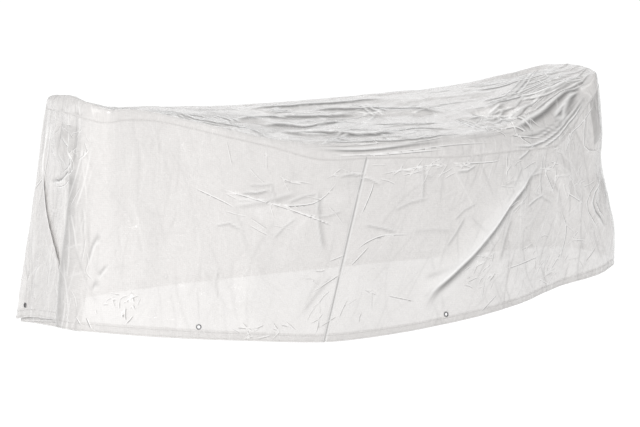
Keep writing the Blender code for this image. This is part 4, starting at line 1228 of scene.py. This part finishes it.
def film_object(name, points, quads, cloth, values, material):
    """A smooth mesh with a map of flat cloth in metres and a value for each point."""
    mesh = bpy.data.meshes.new(name)
    mesh.vertices.add(len(points))
    mesh.vertices.foreach_set("co", points.astype(np.float32).ravel())
    mesh.loops.add(quads.size)
    mesh.loops.foreach_set("vertex_index", quads.astype(np.int32).ravel())
    mesh.polygons.add(len(quads))
    mesh.polygons.foreach_set("loop_start", np.arange(0, quads.size, 4, dtype=np.int32))
    mesh.polygons.foreach_set("use_smooth", np.ones(len(quads), bool))
    mesh.update(calc_edges=True)
    if cloth is not None:
        layer = mesh.uv_layers.new(name="cloth")
        layer.data.foreach_set("uv", cloth[quads.ravel()].astype(np.float32).ravel())
    for label, numbers in values.items():
        attribute = mesh.attributes.new(label, "FLOAT", "POINT")
        attribute.data.foreach_set("value", numbers.astype(np.float32).ravel())
    mesh.materials.append(material)
    mesh.validate()
    item = bpy.data.objects.new(name, mesh)
    bpy.context.scene.collection.objects.link(item)
    return item


def distances(points, axis):
    """Running length along one axis of a grid of points."""
    steps = np.linalg.norm(np.diff(points, axis=axis), axis=-1)
    start = np.zeros_like(np.take(steps, [0], axis=axis))
    return np.concatenate([start, np.cumsum(steps, axis=axis)], axis=axis)


@lru_cache(maxsize=None)
def eyelet_frame(name):
    """Centre and outward direction of an eyelet, from its node's corners: the thinnest way."""
    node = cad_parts[name]
    corners = np.zeros(len(node.data.vertices) * 3, np.float32)
    node.data.vertices.foreach_get("co", corners)
    corners = np.unique(np.round(corners.reshape(-1, 3).astype(float), 6), axis=0)
    centre = 0.5 * (corners.min(axis=0) + corners.max(axis=0))
    _, _, ways = np.linalg.svd(corners - corners.mean(axis=0), full_matrices=False)
    normal = ways[2] * np.sign(ways[2] @ np.array([centre[0], centre[1], 0.0]))
    return centre, normal


def without_holes(points, quads):
    """The quads less those inside an eyelet's barrel."""
    middles = points[quads].mean(axis=1)
    keep = np.ones(len(quads), bool)
    for name in EYELET_NODES:
        centre, normal = eyelet_frame(name)
        away = middles - centre
        height = away @ normal
        radius = np.linalg.norm(away - height[:, None] * normal, axis=1)
        keep &= (radius > CUT_RADIUS) | (np.abs(height) > CUT_DEPTH)
    return quads[keep]


# Materials ------------------------------------------------------------
def new_material(name):
    """A material with its node tree and its Principled shader."""
    material = bpy.data.materials.new(name)
    material.use_nodes = True
    tree = material.node_tree
    return material, tree, tree.nodes["Principled BSDF"]


def add_node(tree, kind, **settings):
    """A node with its settings: the inputs by name or number, the rest as attributes."""
    node = tree.nodes.new(kind)
    for key, value in settings.items():
        if key == "inputs":
            for socket, amount in value.items():
                node.inputs[socket].default_value = amount
        else:
            setattr(node, key, value)
    return node


def math_node(tree, operation, first, second=None, third=None, clamp=False):
    """A Math node whose inputs are sockets or numbers."""
    node = add_node(tree, "ShaderNodeMath", operation=operation, use_clamp=clamp)
    for index, value in enumerate((first, second, third)):
        if value is None:
            continue
        if isinstance(value, (int, float)):
            node.inputs[index].default_value = value
        else:
            tree.links.new(value, node.inputs[index])
    return node.outputs[0]


def noise_node(tree, vector, scale, detail, roughness=0.5, distortion=0.0):
    """A Noise texture's value on a vector."""
    node = add_node(
        tree, "ShaderNodeTexNoise",
        inputs={"Scale": scale, "Detail": detail, "Roughness": roughness, "Distortion": distortion},
    )
    tree.links.new(vector, node.inputs["Vector"])
    return node.outputs["Fac"]


def mix_colour(tree, factor, first, second):
    """A colour between two, by a socket. Either may be a colour or a socket."""
    node = add_node(tree, "ShaderNodeMix", data_type="RGBA")
    tree.links.new(factor, node.inputs[0])
    for index, value in ((6, first), (7, second)):  # a Mix node's two colours
        if isinstance(value, tuple):
            node.inputs[index].default_value = (*value, 1.0)
        else:
            tree.links.new(value, node.inputs[index])
    return node.outputs[2]


def hair_line(tree, gap, thin, offset, width):
    """A thin line: e to the minus square of the gap less an offset, over a width, by its strength."""
    away = math_node(tree, "MULTIPLY_ADD", gap, 1.0 / width, -offset / width)
    square = math_node(tree, "MULTIPLY", away, away)
    bell = math_node(tree, "EXPONENT", math_node(tree, "MULTIPLY", square, -1.0))
    return math_node(tree, "MULTIPLY", bell, thin)


def attribute_node(tree, name):
    """The number that each point of the mesh carries under a name."""
    return add_node(tree, "ShaderNodeAttribute", attribute_name=name).outputs["Fac"]


def toned(colour, share):
    """A colour multiplied by a share."""
    return tuple(channel * share for channel in colour)


def weave_height(tree, cloth):
    """Woven tapes: the product of a wave each way of the cloth, flattened over the tapes."""
    apart = add_node(tree, "ShaderNodeSeparateXYZ")
    tree.links.new(cloth, apart.inputs[0])
    pitch = sizes().tape_pitch
    lines = []
    for axis in "XY":
        wave = math_node(tree, "PINGPONG", apart.outputs[axis], 0.5 * pitch)
        line = math_node(tree, "MULTIPLY", wave, 2.0 / pitch)
        lines.append(math_node(tree, "SMOOTH_MIN", line, TAPE_FLAT, TAPE_SOFT))
    return math_node(tree, "MULTIPLY", *lines)


def crackle_height(tree, cloth):
    """Fine crackle: the distance to the edges of cells of the cloth, whose map a noise wobbles."""
    wobble = add_node(tree, "ShaderNodeTexNoise", inputs={"Scale": 20.0, "Detail": 3.0})
    tree.links.new(cloth, wobble.inputs["Vector"])
    wobbled = add_node(tree, "ShaderNodeMix", data_type="VECTOR")
    wobbled.inputs[0].default_value = CRACKLE_WOBBLE
    tree.links.new(cloth, wobbled.inputs[4])  # a Mix node's two vectors are its inputs 4 and 5
    tree.links.new(wobble.outputs["Color"], wobbled.inputs[5])
    cells = add_node(
        tree, "ShaderNodeTexVoronoi",
        feature="DISTANCE_TO_EDGE", inputs={"Scale": 34.0, "Randomness": 1.0},
    )
    tree.links.new(wobbled.outputs[1], cells.inputs["Vector"])
    return math_node(tree, "SMOOTH_MIN", cells.outputs["Distance"], CRACKLE_FLAT, CRACKLE_SOFT)


def bump_chain(tree, layers):
    """Bumps on top of each other, each given as (height, strength, depth in metres)."""
    normal = None
    for height, strength, depth in layers:
        bump = add_node(tree, "ShaderNodeBump", inputs={"Strength": strength, "Distance": depth})
        tree.links.new(height, bump.inputs["Height"])
        if normal is not None:
            tree.links.new(normal, bump.inputs["Normal"])
        normal = bump.outputs[0]
    return normal


def film_material(name):
    """Milky film of woven tapes: weave, mottling and crackle in the flat cloth's map; crests of
    creases whiter and denser, as stress whitening and a painted highlight, their painted shades
    darker; cloth that lies double, and the top's painted shade, greyer and denser."""
    material, tree, shader = new_material(name)
    look = looks()
    film = look.film_colour
    place = add_node(tree, "ShaderNodeTexCoord").outputs["Object"]
    cloth = add_node(tree, "ShaderNodeUVMap", uv_map="cloth").outputs["UV"]
    labels = ("crest", "shade", "doubled_and_shaded", "gap", "thin")
    crest, shade, doubled_and_shaded, gap, thin = (attribute_node(tree, label) for label in labels)
    crest = math_node(tree, "MAXIMUM", crest, hair_line(tree, gap, thin, 0.0, HAIR_CREST))
    shade = math_node(tree, "MAXIMUM", shade, hair_line(tree, gap, thin, HAIR_OFFSET, HAIR_SHADE))
    weave = weave_height(tree, cloth)
    crackle = crackle_height(tree, cloth)
    ripple = noise_node(tree, cloth, scale=46.0, detail=6.0, roughness=0.62, distortion=0.8)
    clouds = noise_node(tree, place, scale=7.0, detail=5.0, roughness=0.6, distortion=0.4)
    streaks = add_node(tree, "ShaderNodeMapping", inputs={"Scale": (3.0, 60.0, 1.0)})
    tree.links.new(cloth, streaks.inputs["Vector"])
    tape_tone = noise_node(tree, streaks.outputs[0], scale=6.0, detail=3.0, roughness=0.6)

    cloudy = math_node(tree, "MULTIPLY_ADD", clouds, CLOUDY_SHARE, CLOUDY_FROM, clamp=True)
    colour = mix_colour(tree, cloudy, tuple(film), toned(film, CLOUDY_TONE))
    # Greyer where the film lies double, and on the top's painted shade.
    double_and_shade_share = math_node(tree, "MULTIPLY", doubled_and_shaded, DOUBLED_AND_SHADED_SHARE)
    colour = mix_colour(tree, double_and_shade_share, colour, toned(film, DOUBLED_AND_SHADED_TONE))
    # Darker in the painted shade of creases.
    shade_share = math_node(tree, "MULTIPLY", shade, SHADED_SHARE)
    colour = mix_colour(tree, shade_share, colour, toned(film, SHADED_TONE))
    # Whiter on crests: stress whitening and a painted highlight.
    colour = mix_colour(tree, crest, colour, tuple(look.crest_colour))
    tree.links.new(colour, shader.inputs["Base Color"])

    level = look.film_cover - 0.5 * (TAPE_COVER + CLOUDY_COVER) + WEAVE_MIDDLE
    cover = math_node(tree, "MULTIPLY_ADD", tape_tone, TAPE_COVER, level)
    for share, value in (
        (CLOUDY_COVER, clouds), (WEAVE_COVER, weave), (CREST_COVER, crest), (SHADE_COVER, shade),
    ):
        cover = math_node(tree, "MULTIPLY_ADD", value, share, cover)
    cover = math_node(tree, "MULTIPLY_ADD", doubled_and_shaded, DOUBLED_AND_SHADED_COVER, cover, clamp=True)
    tree.links.new(cover, shader.inputs["Alpha"])

    rough = math_node(tree, "MULTIPLY_ADD", ripple, RIPPLE_ROUGH, SMOOTHEST)
    tree.links.new(rough, shader.inputs["Roughness"])
    shader.inputs["IOR"].default_value = 1.5
    shader.inputs["Specular IOR Level"].default_value = 0.7
    shader.inputs["Coat Weight"].default_value = 0.5
    shader.inputs["Coat Roughness"].default_value = 0.16
    bumps = ((ripple, 0.55, 0.0035), (crackle, 0.5, 0.004), (weave, 0.5, 0.0006))
    tree.links.new(bump_chain(tree, bumps), shader.inputs["Normal"])
    return material


def thread_material():
    """Dull polyester thread, with a fine twist."""
    material, tree, shader = new_material("stitching_thread")
    place = add_node(tree, "ShaderNodeTexCoord").outputs["Object"]
    twist = noise_node(tree, place, scale=900.0, detail=2.0)
    colour = looks().thread_colour
    twisted = mix_colour(tree, twist, toned(colour, THREAD_DARK), tuple(colour))
    tree.links.new(twisted, shader.inputs["Base Color"])
    shader.inputs["Roughness"].default_value = 0.6
    return material


def metal_material():
    """Dull rolled metal with fine scratches and a little tarnish."""
    material, tree, shader = new_material("eyelet_metal")
    place = add_node(tree, "ShaderNodeTexCoord").outputs["Object"]
    tarnish = noise_node(tree, place, scale=260.0, detail=4.0, roughness=0.6)
    scratch = noise_node(tree, place, scale=1400.0, detail=2.0, distortion=1.0)
    colour = looks().metal_colour
    tarnished = mix_colour(tree, tarnish, toned(colour, METAL_DARK), tuple(colour))
    tree.links.new(tarnished, shader.inputs["Base Color"])
    rough = math_node(tree, "MULTIPLY_ADD", tarnish, TARNISH_ROUGH, METAL_SMOOTHEST)
    tree.links.new(rough, shader.inputs["Roughness"])
    shader.inputs["Metallic"].default_value = 1.0
    tree.links.new(bump_chain(tree, ((scratch, 0.3, 0.0002),)), shader.inputs["Normal"])
    return material


def shared_film():
    """The film's material, made once for its sheets."""
    return bpy.data.materials.get("woven_film") or film_material("woven_film")


# Pieces ---------------------------------------------------------------
def plain_need(samples, step, places, fine_step, half):
    """Points needed for each unit: one a step, and finer within half of each place."""
    need = np.full(samples.shape, 1.0 / step)
    for place in places:
        need = np.where(np.abs(samples - place) < half, 1.0 / fine_step, need)
    return need


def plain_run(start, stop, samples, step):
    """Columns of a plain stretch of skirt, a step apart and closer beside the eyelets."""
    run = np.linspace(start, stop, SAMPLES[samples])
    return spaced(run, plain_need(run, step, eyelet_places().values(), FINE_STEP, FINE_HALF))


def plain_levels(run, step, place):
    """Shares of the skirt's height, a step apart and closer beside the eyelets' share."""
    fine = FINE_STEP / TYPICAL_DROP
    return spaced(run, plain_need(run, step / TYPICAL_DROP, [place], fine, FINE_LEVELS))


def pleat_bends(step, place):
    """The pleat's columns, counted in bends, a step of cloth apart, closer where it turns and
    beside the eyelet at a place of its last run."""
    bends = np.linspace(0.0, len(PLEAT) - 1.0, SAMPLES["pleat"])
    along, depth, _ = pleat_columns(bends, np.array(PLEAT_LEVELS))
    need = np.abs(np.gradient(along, bends, axis=1)).max(axis=0) / step
    need += np.abs(np.gradient(depth, bends, axis=1)).max(axis=0) / DEPTH_STEP
    at_hem = np.abs(along[-1] - place) < FINE_HALF
    last_run = bends > len(PLEAT) - LAST_BENDS
    fine = np.abs(np.gradient(along[-1], bends)) / FINE_STEP
    need = np.where(at_hem & last_run, np.maximum(need, fine), need)
    return spaced(bends, need)


def left_columns(step):
    """Columns of the left length: from the front seam, through the pleat, to the back seam."""
    near, far, join = along_of("left_near"), along_of("left_far"), along_of("back_join")
    return (
        plain_run(0.0, near, "near", step),
        pleat_bends(step, eyelet_places()["eyelet_2"]),
        plain_run(far, join, "far", step),
    )


def right_columns(step):
    """Columns of the right length: past the back seam and past the front seam by the lap."""
    lap = sizes().seam_lap
    run = plain_run(along_of("back_join") - lap, AROUND + lap, "right", step)
    return run, np.zeros(0), np.zeros(0)


def skirt_levels(step):
    """Levels from the seam to the hem and back up inside it, and how far in each row lies."""
    fold = sizes().hem_fold / TYPICAL_DROP
    down = plain_levels(np.linspace(0.0, 1.0, SAMPLES["levels"]), step, EYELET_SHARE)
    turn = np.array([1.0 + HEM_TURN_DROP * LAYER / TYPICAL_DROP])
    folded = 1.0 - np.linspace(1.0, 1.0 - fold, SAMPLES["levels"])
    up = 1.0 - plain_levels(folded, FOLD_STEP, 1.0 - EYELET_SHARE)
    levels = np.concatenate([down, turn, up])
    insets = np.concatenate([np.zeros(len(down)), [HEM_TURN_INSET * LAYER], np.full(len(up), LAYER)])
    return levels, insets


def make_length(name, columns, seed, lap_side=None):
    """One length of skirt with its folded hem, as one sheet."""
    levels, insets = skirt_levels(sizes().mesh_step)
    points, _, values = skirt_film(columns, levels, insets, seed, lap_side)
    middle = len(levels) // 2
    across = np.broadcast_to(distances(points[middle : middle + 1], 1), points.shape[:2])
    cloth = np.stack([across, -distances(points, 0)], axis=-1).reshape(-1, 2)
    quads = grid_quads(*points.shape[:2])
    points = points.reshape(-1, 3)
    return film_object(name, points, without_holes(points, quads), cloth, values, shared_film())


def top_edges(rows, across):
    """Places along the ring of the points on the top's front, back, left and right edge."""
    near, far = along_of("left_near"), along_of("left_far")
    right_far, right_near = along_of("right_far"), along_of("right_near")
    front = np.linspace(near + AROUND, right_near, rows)
    back = np.linspace(far, right_far, rows)
    left = np.linspace(near, far, across)
    right = np.linspace(right_near, right_far, across)
    return front, back, left, right


def make_top():
    """The top panel: an inner grid, and rings of rim down to a lap over the skirt."""
    step = sizes().mesh_step
    rows = int(TOP_LENGTH / step) + 1
    across = int(TOP_WIDTH / step) + 1
    front, back, left, right = top_edges(rows, across)
    inner = top_grid(front, back, left, right)
    numbers = np.arange(rows * across).reshape(rows, across)
    loop = (numbers[0, :-1], numbers[:-1, -1], numbers[-1, :0:-1], numbers[:0:-1, 0])
    loop = np.concatenate(loop)
    along = np.concatenate([left[:-1], back[:-1], right[:0:-1], front[:0:-1]])
    turns = rim_turns(along, inner.reshape(-1, 3)[loop], step)
    rim = rim_base(along, inner.reshape(-1, 3)[loop], turns)

    inner_relief = top_relief(inner)
    outer_relief, way = rim_relief(rim, along, turns)
    inner = inner + UPWARD * inner_relief[0][..., None]
    rim = rim + way * outer_relief[0][..., None]
    lap = top_lap(along)
    rings = np.concatenate([lap, rim[1:]])
    points = np.concatenate([inner.reshape(-1, 3), rings.reshape(-1, 3)])

    count = len(loop)
    ring_numbers = [rows * across + ring * count + np.arange(count) for ring in range(len(rings))]
    ring_numbers.append(loop)
    quads = [grid_quads(rows, across)[:, ::-1]]
    for lower, upper in zip(ring_numbers[:-1], ring_numbers[1:]):
        quads.append(np.stack([lower, upper, np.roll(upper, -1), np.roll(lower, -1)], axis=1))

    # On the top this value is painted shade.
    values = {"doubled_and_shaded": painted_shade_share(points)}
    plain = {"crest": 0.0, "shade": 0.0, "gap": FAR, "thin": 0.0}
    for part, label in enumerate(plain, start=1):
        on_lap = np.full(lap.shape[:2], plain[label])
        on_rings = (inner_relief[part], on_lap, outer_relief[part][1:])
        values[label] = np.concatenate([value.ravel() for value in on_rings])
    cloth = [inner.reshape(-1, 3)[:, :2], rings.reshape(-1, 3)[:, :2] * RIM_CLOTH]
    cloth = np.concatenate(cloth)
    return film_object("film_top", points, np.concatenate(quads), cloth, values, shared_film())


def thread_mesh(starts, ends, outward, material, name):
    """Stitches: a four-sided thread along each, as a box that is bowed out in the middle."""
    way = ends - starts
    side = unit(np.cross(outward, way))
    rings = []
    for share, thick in THREAD_SHAPE:
        centre = starts + way * share + outward * (THREAD * (THREAD_RISE + thick))
        corners = [
            centre + THREAD * thick * (side * a + outward * b)
            for a, b in ((-1, 0), (0, 1), (1, 0), (0, -1))
        ]
        rings.append(np.stack(corners, axis=1))
    points = np.stack(rings, axis=1)
    corner = np.arange(points[0, ..., 0].size).reshape(points.shape[1:3])
    ahead = np.roll(corner, -1, axis=1)
    walls = np.stack([corner[:-1], ahead[:-1], ahead[1:], corner[1:]], axis=-1).reshape(-1, 4)
    stitch = np.concatenate([walls, corner[:1, ::-1], corner[-1:]])
    quads = stitch[None] + corner.size * np.arange(len(starts))[:, None, None]
    return film_object(name, points.reshape(-1, 3), quads.reshape(-1, 4), None, {}, material)


def stitch_row(points, outward):
    """Starts, ends and outward directions of the stitches between a row's neighbouring points."""
    way = points[1:] - points[:-1]
    return points[:-1], points[:-1] + way * STITCH_SHARE, outward[:-1]


def make_eyelet(name, centre, normal, material):
    """A rolled ring: a rounded profile of radius and height, turned about the eyelet's axis."""
    middle = 0.5 * (EYELET_HOLE + EYELET_FLANGE)
    half = 0.5 * (EYELET_FLANGE - EYELET_HOLE)
    arc = np.linspace(0.0, math.pi, EYELET_ARC)
    round_top = (middle + half * np.cos(arc), EYELET_REACH + EYELET_PLATE * np.sin(arc))
    upper = np.stack(round_top, axis=1)
    barrel = np.linspace(upper[-1], [EYELET_HOLE, -EYELET_REACH], EYELET_BARREL)[1:-1]
    lower = upper[::-1] * np.array([1.0, -1.0])
    faces = [[EYELET_FLANGE, -EYELET_REACH], [EYELET_HOLE, -EYELET_REACH]]
    under = np.array(faces) + np.array(EYELET_LIP)
    over = under[::-1] * np.array([1.0, -1.0])
    profile = np.concatenate([upper, barrel, lower, under, over])
    turns = np.linspace(0.0, 2.0 * math.pi, EYELET_TURNS + 1)[:-1]
    side = unit(np.cross(normal, UPWARD))
    other = np.cross(normal, side)
    ring = np.cos(turns)[:, None] * side + np.sin(turns)[:, None] * other
    points = centre + profile[None, :, :1] * ring[:, None] + profile[None, :, 1:] * normal
    rows, count = points.shape[:2]
    corner = np.arange(rows)[:, None] * count + np.arange(count)[None]
    ahead = np.roll(corner, -1, 0)
    quads = np.stack([corner, ahead, np.roll(ahead, -1, 1), np.roll(corner, -1, 1)], -1)
    return film_object(name, points.reshape(-1, 3), quads.reshape(-1, 4), None, {}, material)


def declare(piece, slot, *nodes):
    """Lets a piece ride on the body and stand for its nodes, which it hides; its slot is not used."""
    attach(piece, "root")
    if nodes:
        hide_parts(*nodes)


def finish_operator(operator, text):
    """Reports what an operator has made."""
    operator.report({"INFO"}, text)
    return {"FINISHED"}


class FILMCOVER_OT_top(bpy.types.Operator):
    """Makes the sagging top panel with its turned-down rim"""

    bl_idname = "filmcover.top"
    bl_label = "Top Panel"

    def execute(self, context):
        piece = make_top()
        declare(piece, "film", "panel_top")
        return finish_operator(self, "top made")


class FILMCOVER_OT_skirt(bpy.types.Operator):
    """Makes the two lengths of skirt, each with its folded hem"""

    bl_idname = "filmcover.skirt"
    bl_label = "Skirt"

    def execute(self, context):
        step = sizes().mesh_step
        left = make_length("film_left", left_columns(step), FACET_SEEDS["left"])
        seed = FACET_SEEDS["right"]
        right = make_length("film_right", right_columns(step), seed, AROUND - LAP_START)
        declare(left, "film", "skirt_left", "hem_left")
        declare(right, "film", "skirt_right", "hem_right")
        return finish_operator(self, "skirt made")


class FILMCOVER_OT_stitching(bpy.types.Operator):
    """Sews the hems and the seams with rows of stitches"""

    bl_idname = "filmcover.stitching"
    bl_label = "Stitching"

    def execute(self, context):
        pitch = sizes().stitch_pitch
        material = thread_material()
        levels = 1.0 - np.array(STITCH_ROWS) / TYPICAL_DROP
        none = np.zeros(len(levels))
        for side, columns in (("left", left_columns(pitch)), ("right", right_columns(pitch))):
            points, outward, _ = skirt_film(columns, levels, none, FACET_SEEDS[side])
            rows = [stitch_row(points[row], outward[row]) for row in range(len(levels))]
            starts, ends, out = (np.concatenate([row[part] for row in rows]) for part in range(3))
            piece = thread_mesh(starts, ends, out, material, f"hem_stitches_{side}")
            declare(piece, "film")
        along = np.arange(0.0, AROUND, pitch)
        seam, down = seam_and_down(along)
        outward = outward_at(along)
        points = seam + down * SEAM_STITCH * sizes().seam_lap + outward * LAYER * SEAM_THREAD
        piece = thread_mesh(*stitch_row(points, outward), material, "seam_stitches")
        declare(piece, "film")
        return finish_operator(self, "stitching made")


class FILMCOVER_OT_eyelets(bpy.types.Operator):
    """Makes the metal eyelets in the hem"""

    bl_idname = "filmcover.eyelets"
    bl_label = "Eyelets"

    def execute(self, context):
        material = metal_material()
        for name in EYELET_NODES:
            piece = make_eyelet(name.replace("eyelet", "ring"), *eyelet_frame(name), material)
            declare(piece, "eyelet_metal", name)
        return finish_operator(self, "eyelets made")


# The studio -----------------------------------------------------------
def add_floor():
    """The pale floor at the ground, with a glow of its own."""
    mesh = bpy.data.meshes.new("floor")
    corners = ((-1, -1), (1, -1), (1, 1), (-1, 1))
    corners = [(x * FLOOR_HALF, y * FLOOR_HALF, -LIFT) for x, y in corners]
    mesh.from_pydata(corners, [], [(0, 1, 2, 3)])
    material, _, shader = new_material("pale_floor")
    shader.inputs["Base Color"].default_value = (*looks().floor_colour, 1.0)
    shader.inputs["Roughness"].default_value = 0.9
    shader.inputs["Specular IOR Level"].default_value = 0.1
    shader.inputs["Emission Color"].default_value = (*PLAIN, 1.0)
    shader.inputs["Emission Strength"].default_value = FLOOR_GLOW
    mesh.materials.append(material)
    floor = bpy.data.objects.new("floor", mesh)
    bpy.context.scene.collection.objects.link(floor)


def add_surroundings():
    """White surroundings, which are brighter as they are seen than as a light."""
    world = bpy.data.worlds.new("studio")
    world.use_nodes = True
    tree = world.node_tree
    backdrop = tree.nodes["Background"]
    backdrop.inputs["Color"].default_value = (*PLAIN, 1.0)
    seen = add_node(tree, "ShaderNodeLightPath").outputs["Is Camera Ray"]
    strength = math_node(tree, "MULTIPLY_ADD", seen, BACKDROP - AMBIENT, AMBIENT)
    tree.links.new(strength, backdrop.inputs["Strength"])
    bpy.context.scene.world = world


def soft_light(name, at, size, power, colour):
    """An oblong area light at a point, turned to face the cover."""
    data = bpy.data.lights.new(name, "AREA")
    data.shape = "RECTANGLE"
    data.size, data.size_y = size
    data.energy = power
    data.color = colour
    item = bpy.data.objects.new(name, data)
    item.location = at
    item.rotation_euler = (Vector(LIGHT_AIM) - Vector(at)).to_track_quat("-Z", "Y").to_euler()
    bpy.context.scene.collection.objects.link(item)


def add_camera():
    """The camera at the measured viewpoint: looking along yaw from +Y to +X, pitched down, rolled."""
    data = bpy.data.cameras.new("view")
    data.sensor_fit = "HORIZONTAL"
    data.sensor_width = CAMERA_SENSOR
    data.lens = CAMERA_LENS
    yaw, pitch, roll = (math.radians(angle) for angle in (CAMERA_YAW, CAMERA_PITCH, CAMERA_ROLL))
    ahead = Vector((math.sin(yaw) * math.cos(pitch), math.cos(yaw) * math.cos(pitch), -math.sin(pitch)))
    level = Vector((math.cos(yaw), -math.sin(yaw), 0.0))
    above = level.cross(ahead)
    right = level * math.cos(roll) + above * math.sin(roll)
    up = above * math.cos(roll) - level * math.sin(roll)
    item = bpy.data.objects.new("view", data)
    turn = Matrix((right, up, -ahead)).transposed().to_4x4()
    item.matrix_world = Matrix.Translation(CAMERA_AT) @ turn
    bpy.context.scene.collection.objects.link(item)
    bpy.context.scene.camera = item


class FILMCOVER_OT_studio(bpy.types.Operator):
    """Makes the pale floor, the soft lights and the camera"""

    bl_idname = "filmcover.studio"
    bl_label = "Studio"

    def execute(self, context):
        add_floor()
        add_surroundings()
        context.scene.view_settings.view_transform = "Standard"
        for light in LIGHTS:
            soft_light(*light)
        add_camera()
        return finish_operator(self, "studio made")


class FILMCOVER_PT_panel(bpy.types.Panel):
    """Lists the cover's pieces and settings"""

    bl_idname = "FILMCOVER_PT_panel"
    bl_label = "Film Cover"
    bl_space_type = "VIEW_3D"
    bl_region_type = "UI"
    bl_category = "Film Cover"

    def draw(self, context):
        layout = self.layout
        for operator in OPERATORS:
            layout.operator(operator.bl_idname)
        for settings in (context.scene.film_cover_sizes, context.scene.film_cover_looks):
            box = layout.box()
            for name in settings.__annotations__:
                box.prop(settings, name)


OPERATORS = (
    FILMCOVER_OT_studio,
    FILMCOVER_OT_top,
    FILMCOVER_OT_skirt,
    FILMCOVER_OT_stitching,
    FILMCOVER_OT_eyelets,
)
CLASSES = (FilmCoverSizes, FilmCoverLooks, *OPERATORS, FILMCOVER_PT_panel)


def register():
    """Registers the classes and the scene's settings."""
    for item in CLASSES:
        bpy.utils.register_class(item)
    bpy.types.Scene.film_cover_sizes = bpy.props.PointerProperty(type=FilmCoverSizes)
    bpy.types.Scene.film_cover_looks = bpy.props.PointerProperty(type=FilmCoverLooks)


def unregister():
    """Removes the settings and the classes."""
    del bpy.types.Scene.film_cover_looks
    del bpy.types.Scene.film_cover_sizes
    for item in reversed(CLASSES):
        bpy.utils.unregister_class(item)


def main():
    """Makes every piece."""
    register()
    bpy.ops.filmcover.studio()
    bpy.ops.filmcover.top()
    bpy.ops.filmcover.skirt()
    bpy.ops.filmcover.stitching()
    bpy.ops.filmcover.eyelets()


if __name__ == "__main__":
    main()
